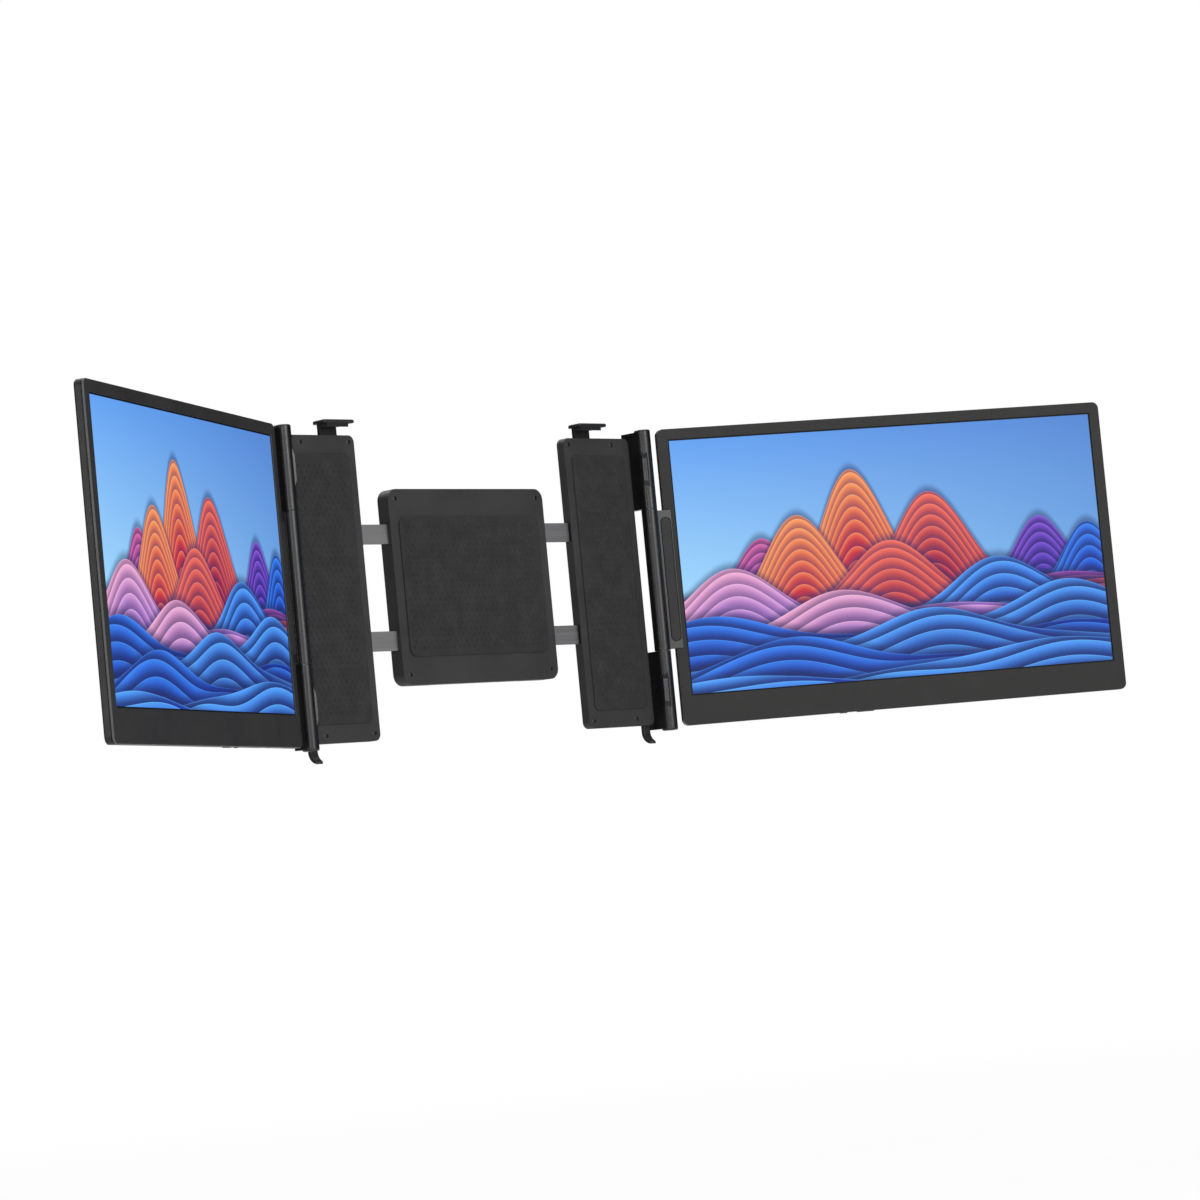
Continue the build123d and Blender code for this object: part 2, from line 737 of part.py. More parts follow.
hook_top = hook_foot_z + hook_foot_height / 2
with BuildPart() as bottom_hook:
    with BuildSketch(Plane.YZ.offset(hook_place - hook_width / 2)):
        with BuildLine():
            Line((hook_back, hook_top), (hook_back, hook_bend_top))
            TangentArc((hook_back, hook_bend_top), hook_tip, tangent=(0, -1))
            inner_tip = (hook_tip[0], hook_tip[1] + hook_tip_thickness)
            Line(hook_tip, inner_tip)
            TangentArc((stem_front, hook_bend_top), inner_tip, tangent=(0, -1))
            Line((stem_front, hook_bend_top), (stem_front, hook_top))
            Line((stem_front, hook_top), (hook_back, hook_top))
        make_face()
    extrude(amount=hook_width)
    fillet(bottom_hook.edges().filter_by(GeomType.CIRCLE), hook_round)
    with BuildSketch(Plane.XY.offset(hook_tip[1])):
        with Locations((hook_place, hook_tip[0] + hook_tip_round)):
            Circle(hook_tip_round)
        with Locations((hook_place, (hook_tip[0] + hook_tip_round + hook_back) / 2)):
            Rectangle(hook_width, hook_back - hook_tip[0] - hook_tip_round)
    extrude(amount=hook_top - hook_tip[1], mode=Mode.INTERSECT)
    with BuildSketch(lid_plane(stem_front)):
        with Locations((hook_foot_x, hook_foot_z)):
            Rectangle(hook_foot_width, hook_foot_height)
    extrude(amount=-hook_strap)
    add(screws_from_front(stem_front, hook_points, hook_strap, running_gap), mode=Mode.SUBTRACT)
export_pair(bottom_hook.part, "bottom_hook")

with BuildPart() as arm_screws:
    add(screws_from_front(arm_front, arm_boss_points, arm_floor - arm_front - seat_gap))
    for seat, points in (
        (tongue_front, tongue_points(1) + tongue_points(-1)),
        (bar_front, bar_points),
        (stem_front, hook_points),
    ):
        add(screws_from_front(seat, points, arm_floor + thread_depth - seat_gap - seat))
export_pair(arm_screws.part, "arm_screws")

# ---------------------------------------------------------------- clips
plate_bottom = lid_top + clip_pad_thickness
plate_top = plate_bottom + clip_plate_thickness
clip_front = -lid_thickness - clip_overhang
lip_front = -lid_thickness - seat_gap - clip_lip_thickness
lip_bottom = lid_top - clip_lip_drop
lip_height = plate_bottom + clip_nose_face - lip_bottom
with BuildPart() as top_clip:
    # Plate with a nose that slopes up, so that the lid's edge finds its way in
    with BuildSketch(Plane.YZ.offset(clip_place - clip_plate_width / 2)):
        with BuildLine():
            Polyline(
                (stem_back, plate_bottom),
                (clip_front + clip_nose_slope, plate_bottom),
                (clip_front, plate_top - clip_nose_face),
                (clip_front, plate_top),
                (stem_back, plate_top),
                close=True,
            )
        make_face()
    extrude(amount=clip_plate_width)
    corners = top_clip.edges().filter_by(Axis.Z)
    fillet(corners.group_by(Axis.Y)[-1], clip_back_corner)
    fillet(top_clip.edges().filter_by(Axis.Z).group_by(Axis.Y)[0], clip_front_corner)
    back_edges = top_clip.faces().sort_by(Axis.Z)[-1].edges().group_by(Axis.Y)[-1]
    fillet(back_edges, clip_back_round)
    with BuildSketch(lid_plane(stem_front)):
        with Locations((clip_place, (clip_stem_bottom + plate_bottom) / 2)):
            Rectangle(clip_stem_width, plate_bottom - clip_stem_bottom)
    extrude(amount=-clip_stem_thickness)
    with BuildSketch(lid_plane(lip_front)):
        with Locations((clip_place, lip_bottom + lip_height / 2)):
            Rectangle(clip_pad_width, lip_height)
    extrude(amount=-clip_lip_thickness)
export_pair(top_clip.part, "top_clip")

with BuildPart() as clip_pad:
    with BuildSketch(Plane.XY.offset(lid_top)):
        with Locations((clip_place, (stem_front - lid_thickness) / 2)):
            Rectangle(clip_pad_width, stem_front + lid_thickness)
    extrude(amount=clip_pad_thickness)
export_pair(clip_pad.part, "clip_pad")

# ---------------------------------------------------------------- centre housing
centre_size = (2 * centre_half_width, 2 * centre_half_height)
pocket_size = (centre_size[0] - 2 * centre_wall, centre_size[1] - 2 * centre_wall)
centre_boss_points = [
    (x, z)
    for x in (centre_boss_inset - centre_half_width, centre_half_width - centre_boss_inset)
    for z in (centre_boss_inset - centre_half_height, centre_half_height - centre_boss_inset)
]
recess_half_width = stand_width / 2 + slide_gap
recess_top = stand_top + travel_gap
recess_z = (recess_top - centre_half_height) / 2
recess_height = recess_top + centre_half_height
cheek_width = stand_pin_length / 2 + slide_gap
pin_reach = recess_half_width + stand_pin_length / 2

with BuildPart() as centre_front_cover:
    with BuildSketch(lid_plane(arm_front)):
        RectangleRounded(*centre_size, centre_corner)
    extrude(amount=-centre_front_thickness)
    with BuildSketch(lid_plane(centre_split)):
        RectangleRounded(*pocket_size, centre_corner - centre_wall)
    extrude(amount=centre_split - arm_front - centre_wall, mode=Mode.SUBTRACT)
    with BuildSketch(lid_plane(centre_split)):
        with Locations(*centre_boss_points):
            Circle(centre_boss_radius)
    extrude(amount=centre_split - arm_front - centre_wall)
    add(
        screws_from_front(arm_front, centre_boss_points, centre_front_thickness, running_gap),
        mode=Mode.SUBTRACT,
    )
export(centre_front_cover.part, "centre_front_cover")

with BuildPart() as centre_rear_cover:
    with BuildSketch(lid_plane(centre_split)):
        RectangleRounded(*centre_size, centre_corner)
    extrude(amount=centre_split - centre_back)
    fillet(centre_rear_cover.faces().sort_by(Axis.Y)[-1].edges(), centre_round)
    with BuildSketch(lid_plane(centre_split)):
        RectangleRounded(*pocket_size, centre_corner - centre_wall)
    extrude(amount=centre_split - centre_floor, mode=Mode.SUBTRACT)
    with BuildSketch(lid_plane(centre_split)):
        with Locations(*centre_boss_points):
            Circle(centre_boss_radius)
    extrude(amount=centre_split - centre_floor)
    # Wall round the kickstand's recess, and the recess, which runs out through the bottom edge
    with BuildSketch(lid_plane(recess_floor - centre_wall)):
        with Locations((0, recess_z + centre_wall / 2)):
            Rectangle(2 * (recess_half_width + cheek_width), recess_height - centre_wall)
        with Locations((0, recess_top)):
            Circle(finger_notch_radius + centre_wall)
    extrude(amount=recess_floor - centre_wall - centre_floor)
    with BuildSketch(lid_plane(recess_floor)):
        with Locations((0, recess_z - centre_round / 2)):
            Rectangle(2 * recess_half_width, recess_height + centre_round)
    extrude(amount=-stand_recess, mode=Mode.SUBTRACT)
    with BuildSketch(lid_plane(centre_back)):
        with Locations((0, recess_top)):
            Circle(finger_notch_radius)
    extrude(amount=finger_notch_depth, mode=Mode.SUBTRACT)
    with BuildSketch(Plane.YZ.offset(-pin_reach)):
        with Locations((stand_axis_y, stand_pivot)):
            Circle(stand_pin_radius + running_gap)
    extrude(amount=2 * pin_reach, mode=Mode.SUBTRACT)
    with BuildSketch(lid_plane(centre_split)):
        for x in (centre_wall / 2 - centre_half_width, centre_half_width - centre_wall / 2):
            for height in (-bar_height, bar_height):
                with Locations((x, height)):
                    Rectangle(centre_wall, bar_size + 2 * slide_gap)
    extrude(amount=centre_split - bar_back - slide_gap, mode=Mode.SUBTRACT)
    with BuildSketch(lid_plane(centre_floor)):
        with Locations(*centre_boss_points):
            Circle(screw_radius + running_gap)
    extrude(amount=centre_floor - centre_split, mode=Mode.SUBTRACT)
export(centre_rear_cover.part, "centre_rear_cover")

with BuildPart() as lid_pad:
    with BuildSketch(lid_plane(0)):
        RectangleRounded(2 * (centre_half_width - lid_pad_inset), lid_pad_height, lid_pad_corner)
    extrude(amount=-arm_front)
export(lid_pad.part, "lid_pad")

with BuildPart() as bar_guides:
    with BuildSketch(lid_plane(arm_front + centre_wall)):
        for x in (-(guide_inner + guide_outer) / 2, (guide_inner + guide_outer) / 2):
            for height in (-bar_height, bar_height):
                with Locations((x, height)):
                    Rectangle(guide_outer - guide_inner, guide_size)
    extrude(amount=arm_front + centre_wall - centre_floor)
    with BuildSketch(lid_plane(bar_front - seat_gap)):
        for height in (-bar_height, bar_height):
            with Locations((0, height)):
                Rectangle(2 * guide_outer, bar_size + 2 * seat_gap)
    extrude(amount=-bar_thickness - 2 * seat_gap, mode=Mode.SUBTRACT)
export(bar_guides.part, "bar_guides")

with BuildPart() as centre_screws:
    add(screws_from_front(arm_front, centre_boss_points, centre_floor - arm_front - seat_gap))
export(centre_screws.part, "centre_screws")

stand_plate_top = stand_top - stand_foot_height
stand_plate_height = stand_plate_top - stand_pivot
with BuildPart() as kickstand:
    with BuildSketch(Plane.YZ.offset(-stand_width / 2)):
        with Locations((stand_axis_y, stand_pivot + stand_plate_height / 2)):
            Rectangle(stand_thickness, stand_plate_height)
        with Locations((stand_axis_y, stand_pivot)):
            Circle(stand_thickness / 2)
    extrude(amount=stand_width)
    with BuildSketch(lid_plane(stand_front + stand_thickness)):
        with Locations((0, stand_pivot + stand_plate_height / 2)):
            RectangleRounded(
                stand_width - 2 * stand_pocket_margin,
                stand_plate_height - 2 * stand_pocket_margin,
                stand_corner,
            )
    extrude(amount=stand_pocket_depth, mode=Mode.SUBTRACT)
    with BuildSketch(Plane.YZ.offset(-stand_width / 2)):
        with Locations((stand_axis_y, stand_pivot)):
            Circle(stand_pin_radius + running_gap)
    extrude(amount=stand_width, mode=Mode.SUBTRACT)
export(kickstand.part, "kickstand")

with BuildPart() as kickstand_foot:
    with BuildSketch(lid_plane(stand_front)):
        with Locations((0, stand_top - stand_foot_height / 2)):
            Rectangle(stand_width, stand_foot_height)
    extrude(amount=-stand_thickness)
    top_corners = kickstand_foot.edges().filter_by(Axis.Y).group_by(Axis.Z)[-1]
    fillet(top_corners, stand_corner)
export(kickstand_foot.part, "kickstand_foot")

with BuildPart() as kickstand_pins:
    for side in (-1, 1):
        with BuildSketch(Plane.YZ.offset(side * pin_reach)):
            with Locations((stand_axis_y, stand_pivot)):
                Circle(stand_pin_radius)
        extrude(amount=-side * stand_pin_length)
export(kickstand_pins.part, "kickstand_pins")
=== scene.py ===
import json
from math import atan2, cos, degrees, radians, sin, tau

import bmesh
import bpy
from mathutils import Matrix, Vector


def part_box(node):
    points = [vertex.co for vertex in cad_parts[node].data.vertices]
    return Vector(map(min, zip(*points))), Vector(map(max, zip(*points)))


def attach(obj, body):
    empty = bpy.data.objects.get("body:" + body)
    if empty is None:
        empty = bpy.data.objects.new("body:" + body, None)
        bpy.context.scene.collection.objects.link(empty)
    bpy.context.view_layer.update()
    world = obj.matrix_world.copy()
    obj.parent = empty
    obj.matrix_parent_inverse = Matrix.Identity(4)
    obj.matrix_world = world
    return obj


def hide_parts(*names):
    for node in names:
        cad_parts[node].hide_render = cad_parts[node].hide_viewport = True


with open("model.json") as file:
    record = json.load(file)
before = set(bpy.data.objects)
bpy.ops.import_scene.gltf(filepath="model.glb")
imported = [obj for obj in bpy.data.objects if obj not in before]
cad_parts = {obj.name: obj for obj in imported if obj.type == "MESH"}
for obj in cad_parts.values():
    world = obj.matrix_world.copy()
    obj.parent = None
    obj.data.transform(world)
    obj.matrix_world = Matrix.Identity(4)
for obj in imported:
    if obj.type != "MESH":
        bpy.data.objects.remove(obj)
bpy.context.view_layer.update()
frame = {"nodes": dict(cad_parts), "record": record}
nodes = frame["nodes"]
record = frame["record"]

# Driving values, in metres and degrees: displays and their cases
sides = ("left", "right")
display_angle = 29.5
display_size = (0.3442, 0.1936)
unlit_border_and_shade = 0.0011
panel_to_split = 0.0006
parting_groove = 0.00042
# Countersunk screws with a six-lobed drive
screw_radius = 0.00095
screw_head_radius = 0.0019
screw_head_edge = (0.00012, 0.00008)
screw_thread = 0.00016
screw_pitch = 0.00045
screw_tip_share = 0.6
screw_steps = 24
drive_radius = 0.00078
drive_depth = 0.0009
drive_mouth = (0.00008, 0.0001)
drive_floor_share = 0.8
drive_wall_share = 0.85
drive_lobes = 6
drive_lobe_depth = 0.15
# Anti-slip pads with rows of dots
arm_pad_corner = 0.004
lid_pad_corner = 0.006
pad_floor = 0.0004
pad_rim = 0.0022
pad_rim_round = 0.00025
dot_pitch = 0.005
dot_row_share = 0.866
dot_radius = 0.0014
dot_top_radius = 0.0010
dot_sink = 0.0001
dot_room = 1.6
# Ribs of the clips' pads and of the stand's foot
rib_radius = 0.00035
clip_pad_corner = 0.0008
clip_rib_count = 6
clip_rib_gap = 0.001
foot_corner = 0.004
foot_rim_round = 0.0004
foot_rib_count = 3
foot_rib_height = 0.0012
foot_rib_pitch = 0.0011
foot_rib_gap = 0.003
# Contacts in the sockets
contact_size = (0.00026, 0.00005, 0.0042)
contact_setback = 0.0012
# Studio
camera_place = (-2.19114, -2.20944, -0.2214)
camera_right = Vector((0.691123, -0.716584, -0.094107))
camera_down = Vector((-0.018287, 0.112829, -0.993446))
camera_lens = 129.85
world_strength = 0.42
floor_height = -0.45
floor_half_size = 8.0
floor_fade = (0.6, 2.2)
floor_near_white = 0.86
wall_distance = 3.6
wall_low = -1.8
wall_height = 5.0
wall_opening = (-122, -58)
wall_glow = 0.04
# Each lamp's name, place, width and height, and watts
lamps = (
    ("key", (0.1, -2.75, 0.85), (0.85, 1.8), 36),
    ("front_fill", (-1.2, -2.6, 0.5), (1.6, 1.6), 9),
    ("camera_strip", (-2.35, -2.25, 0.35), (0.32, 1.4), 14),
    ("left_strip", (-2.9, -0.8, 0.4), (0.4, 1.6), 18),
    ("overhead", (-0.2, -0.5, 2.6), (2.0, 1.4), 18),
    ("behind", (0.3, 2.0, 2.2), (1.8, 1.4), 34),
)

# Directions, and limits for meshes
up = Vector((0, 0, 1))
to_user = Vector((0, -1, 0))
sharp_angle = 35
tiny = 0.00001
merge_distance = 0.000001


def side_sign(side):
    """1 on the right and -1 on the left."""
    return 1 if side == "right" else -1


def display_axes(side):
    """Directions of a display: outward from its hinge, and out of its face."""
    turn, sign = radians(display_angle), side_sign(side)
    return Vector((sign * cos(turn), -sin(turn), 0)), Vector((-sign * sin(turn), -cos(turn), 0))


# ---------------------------------------------------------------- shader helpers
def new_tree(name, inputs, outputs):
    """Shader node group with named sockets; inputs is {name: (kind, value)} and outputs {name: kind}."""
    tree = bpy.data.node_groups.new(name, "ShaderNodeTree")
    for socket, (kind, value) in inputs.items():
        made = tree.interface.new_socket(socket, in_out="INPUT", socket_type="NodeSocket" + kind)
        if kind in ("Float", "Color"):
            made.default_value = value
    for socket, kind in outputs.items():
        tree.interface.new_socket(socket, in_out="OUTPUT", socket_type="NodeSocket" + kind)
    return tree, tree.nodes.new("NodeGroupInput").outputs, tree.nodes.new("NodeGroupOutput").inputs


def plug(tree, socket, value):
    """Links an output socket to an input, or sets the input's own value."""
    if isinstance(value, bpy.types.NodeSocket):
        tree.links.new(value, socket)
    else:
        socket.default_value = value


def add_node(tree, kind, settings=None, **inputs):
    """Adds a node of a kind with its settings, and plugs its inputs by name."""
    node = tree.nodes.new("ShaderNode" + kind)
    for name, value in (settings or {}).items():
        setattr(node, name, value)
    for name, value in inputs.items():
        plug(tree, node.inputs[name.replace("_", " ")], value)
    return node


def calc(tree, operation, *values):
    """Output of a Math node."""
    node = tree.nodes.new("ShaderNodeMath")
    node.operation = operation
    for socket, value in zip(node.inputs, values):
        plug(tree, socket, value)
    return node.outputs["Value"]


def mix(tree, share, first, second, kind="MIX"):
    """Output of a colour Mix node."""
    node = tree.nodes.new("ShaderNodeMix")
    node.data_type = "RGBA"
    node.blend_type = kind
    plug(tree, node.inputs[0], share)
    plug(tree, node.inputs[6], first)
    plug(tree, node.inputs[7], second)
    return node.outputs[2]


def between(tree, value, low, high, low_out=0.0, high_out=1.0, smooth=True):
    """Value mapped from one range to another, and held at both ends."""
    kind = "SMOOTHSTEP" if smooth else "LINEAR"
    node = add_node(tree, "MapRange", {"interpolation_type": kind}, Value=value)
    for name, number in (("From Min", low), ("From Max", high), ("To Min", low_out), ("To Max", high_out)):
        plug(tree, node.inputs[name], number)
    return node.outputs["Result"]


def noise(tree, place, size, detail=2.0, roughness=0.5):
    """Noise texture whose spots are about this many metres across."""
    scale = calc(tree, "DIVIDE", 1.0, size)
    node = add_node(tree, "TexNoise", Vector=place, Scale=scale, Detail=detail, Roughness=roughness)
    return node.outputs["Fac"]


def swing(tree, mask, middle, size):
    """Value that a mask moves round a middle, by this much in all."""
    return calc(tree, "MULTIPLY_ADD", mask, size, middle - size / 2)


def place_group(tree, group, **inputs):
    """Outputs of a node group placed in a tree, with its inputs plugged by name."""
    node = tree.nodes.new("ShaderNodeGroup")
    node.node_tree = group
    for name, value in inputs.items():
        plug(tree, node.inputs[name.replace("_", " ")], value)
    return node.outputs


def grey(value, blue=1.0):
    """Linear grey, with its blue raised or lowered."""
    return (value, value, value * blue, 1)


def shade(colour, factor):
    """Lighter or darker kind of a colour."""
    return (*(min(1.0, c * factor) for c in colour[:3]), 1)


def srgb(red, green, blue):
    """Linear colour of an 8 bit sRGB one."""
    return (*(((c / 255 + 0.055) / 1.055) ** 2.4 for c in (red, green, blue)), 1.0)


# ---------------------------------------------------------------- shared effects
def soft_edges_group():
    """Rounded normals along edges, and a mask of those edges."""
    tree, given, out = new_tree(
        "soft_edges", {"Radius": ("Float", 0.0004)}, {"Normal": "Vector", "Edge": "Float"}
    )
    rounded = add_node(tree, "Bevel", {"samples": 4}, Radius=given["Radius"]).outputs["Normal"]
    flat = add_node(tree, "NewGeometry").outputs["Normal"]
    turned = add_node(tree, "VectorMath", {"operation": "DOT_PRODUCT"})
    plug(tree, turned.inputs[0], rounded)
    plug(tree, turned.inputs[1], flat)
    plug(tree, out["Normal"], rounded)
    plug(tree, out["Edge"], between(tree, turned.outputs["Value"], 0.75, 0.99, 1.0, 0.0))
    return tree


def moulded_grain_group():
    """Spark-eroded mould grain, with the slow clouding that a large moulding has."""
    tree, given, out = new_tree(
        "moulded_grain",
        {"Place": ("Vector", None), "Size": ("Float", 0.0004), "Cloud": ("Float", 0.05)},
        {"Height": "Float", "Tone": "Float"},
    )
    grain = noise(tree, given["Place"], given["Size"], detail=3.0, roughness=0.6)
    pits = add_node(
        tree, "TexVoronoi", Vector=given["Place"], Scale=calc(tree, "DIVIDE", 0.7, given["Size"])
    ).outputs["Distance"]
    plug(tree, out["Height"], calc(tree, "MULTIPLY_ADD", pits, 0.5, grain))
    cloud = noise(tree, given["Place"], given["Cloud"], detail=4.0, roughness=0.55)
    clouding = between(tree, cloud, 0.3, 0.7, 0.0, 0.65)
    plug(tree, out["Tone"], calc(tree, "MULTIPLY_ADD", grain, 0.35, clouding))
    return tree


def brushed_lines_group():
    """Fine lines along X, from brushing or rolling."""
    tree, given, out = new_tree(
        "brushed_lines",
        {"Place": ("Vector", None), "Size": ("Float", 0.0002), "Stretch": ("Float", 60.0)},
        {"Height": "Float", "Tone": "Float"},
    )
    parts = add_node(tree, "SeparateXYZ", Vector=given["Place"]).outputs
    along = calc(tree, "DIVIDE", parts["X"], given["Stretch"])
    drawn = add_node(tree, "CombineXYZ", X=along, Y=parts["Y"], Z=parts["Z"]).outputs["Vector"]
    lines = noise(tree, drawn, given["Size"], roughness=0.6)
    plug(tree, out["Height"], lines)
    slow = noise(tree, drawn, calc(tree, "MULTIPLY", given["Size"], 9.0))
    plug(tree, out["Tone"], calc(tree, "MULTIPLY_ADD", lines, 0.5, calc(tree, "MULTIPLY", slow, 0.5)))
    return tree


def handling_group():
    """Masks of finger smudges, and of fine dust that settles on what faces up."""
    tree, given, out = new_tree(
        "handling", {"Place": ("Vector", None)}, {"Smudge": "Float", "Dust": "Float"}
    )
    warp = add_node(tree, "TexNoise", Vector=given["Place"], Scale=30.0, Detail=2.0).outputs["Color"]
    bent = add_node(tree, "VectorMath", {"operation": "MULTIPLY_ADD"})
    plug(tree, bent.inputs[0], warp)
    bent.inputs[1].default_value = (0.02, 0.02, 0.02)
    plug(tree, bent.inputs[2], given["Place"])
    smear = noise(tree, bent.outputs["Vector"], size=0.022, detail=3.0, roughness=0.45)
    plug(tree, out["Smudge"], between(tree, smear, 0.5, 0.72))
    normal = add_node(tree, "TexCoord").outputs["Normal"]
    facing_up = add_node(tree, "SeparateXYZ", Vector=normal).outputs["Z"]
    specks = between(tree, noise(tree, given["Place"], size=0.0007, roughness=0.8), 0.52, 0.7)
    settled = calc(tree, "MULTIPLY_ADD", between(tree, facing_up, 0.2, 0.9), 0.6, 0.03)
    plug(tree, out["Dust"], calc(tree, "MULTIPLY", specks, settled))
    return tree


def parting_line_group():
    """Masks of a case's parting line, and of its broad front or back face, in the case's own axes."""
    tree, given, out = new_tree(
        "parting_line",
        {"Depth": ("Float", 0.0), "Facing": ("Float", 1.0)},
        {"Line": "Float", "Face": "Float"},
    )
    off = calc(tree, "ABSOLUTE", calc(tree, "SUBTRACT", given["Depth"], panel_to_split))
    line = between(tree, off, parting_groove, parting_groove * 1.5, 1.0, 0.0)
    slope = between(tree, calc(tree, "ABSOLUTE", given["Facing"]), 0.55, 0.98)
    plug(tree, out["Line"], calc(tree, "MULTIPLY", line, calc(tree, "SUBTRACT", 1.0, slope)))
    plug(tree, out["Face"], slope)
    return tree


soft_edges = soft_edges_group()
moulded_grain = moulded_grain_group()
brushed_lines = brushed_lines_group()
handling = handling_group()
parting_line = parting_line_group()
dust_colour = (0.16, 0.155, 0.145, 1)
worn_colour = (0.16, 0.16, 0.162, 1)
# Near-black painted shade of the groove along the cases' parting line
parting_groove_shade_colour = grey(0.0006)


# ---------------------------------------------------------------- finishes
def new_finish(name, **values):
    """Material with a Principled shader, whose plain values are set on its own sockets."""
    material = bpy.data.materials.new(name)
    material.use_nodes = True
    shader = material.node_tree.nodes["Principled BSDF"]
    for socket, value in values.items():
        shader.inputs[socket.replace("_", " ")].default_value = value
    place = add_node(material.node_tree, "TexCoord").outputs["Object"]
    return material, material.node_tree, shader, place


def bump(tree, height, strength, distance, normal):
    """Normal raised by a height."""
    made = add_node(tree, "Bump", Height=height, Strength=strength, Distance=distance, Normal=normal)
    return made.outputs["Normal"]


def display_place(tree, place, side, scale=1.0):
    """Object places turned into a display's axes: X to the viewer's right, Y to its back, Z up."""
    low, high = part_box(f"{side}_lcd_panel")
    turn = -side_sign(side) * radians(display_angle)
    mapping = add_node(
        tree,
        "Mapping",
        {"vector_type": "TEXTURE"},
        Vector=place,
        Location=(low + high) / 2,
        Rotation=(0, 0, turn),
        Scale=(scale,) * 3,
    )
    return add_node(tree, "SeparateXYZ", Vector=mapping.outputs["Vector"]).outputs


def moulded_plastic(name, colour, roughness=0.5, specular=0.25, grain=0.00035, depth=0.00003, edge=0.0004):
    """Black moulded plastic: mould grain, clouding, smudges, and a polish on its edges."""
    material, tree, shader, place = new_finish(name, Specular_IOR_Level=specular)
    edges = place_group(tree, soft_edges, Radius=edge)
    skin = place_group(tree, moulded_grain, Place=place, Size=grain)
    touch = place_group(tree, handling, Place=place)
    base = mix(tree, skin["Tone"], shade(colour, 0.82), shade(colour, 1.22))
    polished = calc(tree, "MULTIPLY", edges["Edge"], 0.35)
    rubbed = mix(tree, polished, base, shade(colour, 2.2))
    plug(tree, shader.inputs["Base Color"], mix(tree, touch["Dust"], rubbed, dust_colour))
    satin = swing(tree, skin["Tone"], roughness, 0.12)
    plug(tree, shader.inputs["Roughness"], calc(tree, "MULTIPLY_ADD", touch["Smudge"], -0.06, satin))
    raised = bump(tree, skin["Height"], strength=0.5, distance=depth, normal=edges["Normal"])
    plug(tree, shader.inputs["Normal"], raised)
    return material


def shell_masks(tree, place, side):
    """Masks of a case's parting line and of its broad faces, and places in its own axes."""
    facing = add_node(tree, "VectorMath", {"operation": "DOT_PRODUCT"})
    plug(tree, facing.inputs[0], add_node(tree, "TexCoord").outputs["Normal"])
    facing.inputs[1].default_value = display_axes(side)[1]
    own = display_place(tree, place, side)
    return place_group(tree, parting_line, Depth=own["Y"], Facing=facing.outputs["Value"]), own


def bezel_plastic(side):
    """Front bezel: finely grained face, a smoother rim whose side walls are painted light grey as a painted
    highlight, and a black parting line painted as the shade of its groove.
    """
    material, tree, shader, place = new_finish(f"{side}_bezel_plastic", Specular_IOR_Level=0.14)
    edges = place_group(tree, soft_edges, Radius=0.0005)
    skin = place_group(tree, moulded_grain, Place=place, Size=0.00035)
    touch = place_group(tree, handling, Place=place)
    shell, _ = shell_masks(tree, place, side)
    face = mix(tree, skin["Tone"], (0.0165, 0.0165, 0.016, 1), (0.0228, 0.0228, 0.0222, 1))
    # Side walls painted light grey: a painted highlight where the rounded rim catches the light
    base = mix(tree, shell["Face"], grey(0.075), face)
    dusty = mix(tree, touch["Dust"], base, dust_colour)
    # The parting line is painted near black: painted shade of the groove between bezel and back cover
    plug(tree, shader.inputs["Base Color"], mix(tree, shell["Line"], dusty, parting_groove_shade_colour))
    satin = swing(tree, skin["Tone"], 0.41, 0.10)
    touched = calc(tree, "MULTIPLY_ADD", touch["Smudge"], -0.05, satin)
    plug(tree, shader.inputs["Roughness"], calc(tree, "MULTIPLY_ADD", shell["Face"], 0.14, touched))
    raised = bump(tree, skin["Height"], strength=0.45, distance=0.00002, normal=edges["Normal"])
    plug(tree, shader.inputs["Normal"], raised)
    return material


def anodised_back(side):
    """Back cover of dark anodised aluminium, brushed along its width, with duller side walls painted near
    black as painted shade, and a black parting line painted as the shade of its groove.
    """
    material, tree, shader, place = new_finish(f"{side}_anodised_back", Specular_IOR_Level=0.3)
    edges = place_group(tree, soft_edges, Radius=0.0005)
    touch = place_group(tree, handling, Place=place)
    shell, own = shell_masks(tree, place, side)
    along = add_node(tree, "CombineXYZ", X=own["X"], Y=own["Y"], Z=own["Z"]).outputs["Vector"]
    drawn = place_group(tree, brushed_lines, Place=along, Size=0.0007, Stretch=90.0)
    cloud = noise(tree, place, size=0.07, detail=3.0)
    tone = calc(tree, "MULTIPLY_ADD", cloud, 0.25, calc(tree, "MULTIPLY", drawn["Tone"], 0.75))
    face = mix(tree, between(tree, tone, 0.3, 0.7), (0.040, 0.041, 0.043, 1), (0.074, 0.075, 0.078, 1))
    # Side walls painted near black: painted shade of walls that sit in shadow beside the hinge barrels
    base = mix(tree, shell["Face"], grey(0.010), face)
    bright_edge = calc(tree, "MULTIPLY", edges["Edge"], 0.25)
    rubbed = mix(tree, bright_edge, base, grey(0.16))
    dusty = mix(tree, calc(tree, "MULTIPLY", touch["Dust"], 0.7), rubbed, dust_colour)
    # The parting line is painted near black: painted shade of the groove between bezel and back cover
    plug(tree, shader.inputs["Base Color"], mix(tree, shell["Line"], dusty, parting_groove_shade_colour))
    plug(tree, shader.inputs["Metallic"], calc(tree, "MULTIPLY", shell["Face"], 0.6))
    satin = swing(tree, drawn["Tone"], 0.43, 0.14)
    plug(tree, shader.inputs["Roughness"], calc(tree, "MULTIPLY_ADD", touch["Smudge"], -0.05, satin))
    raised = bump(tree, drawn["Height"], strength=0.3, distance=0.00002, normal=edges["Normal"])
    plug(tree, shader.inputs["Normal"], raised)
    return material


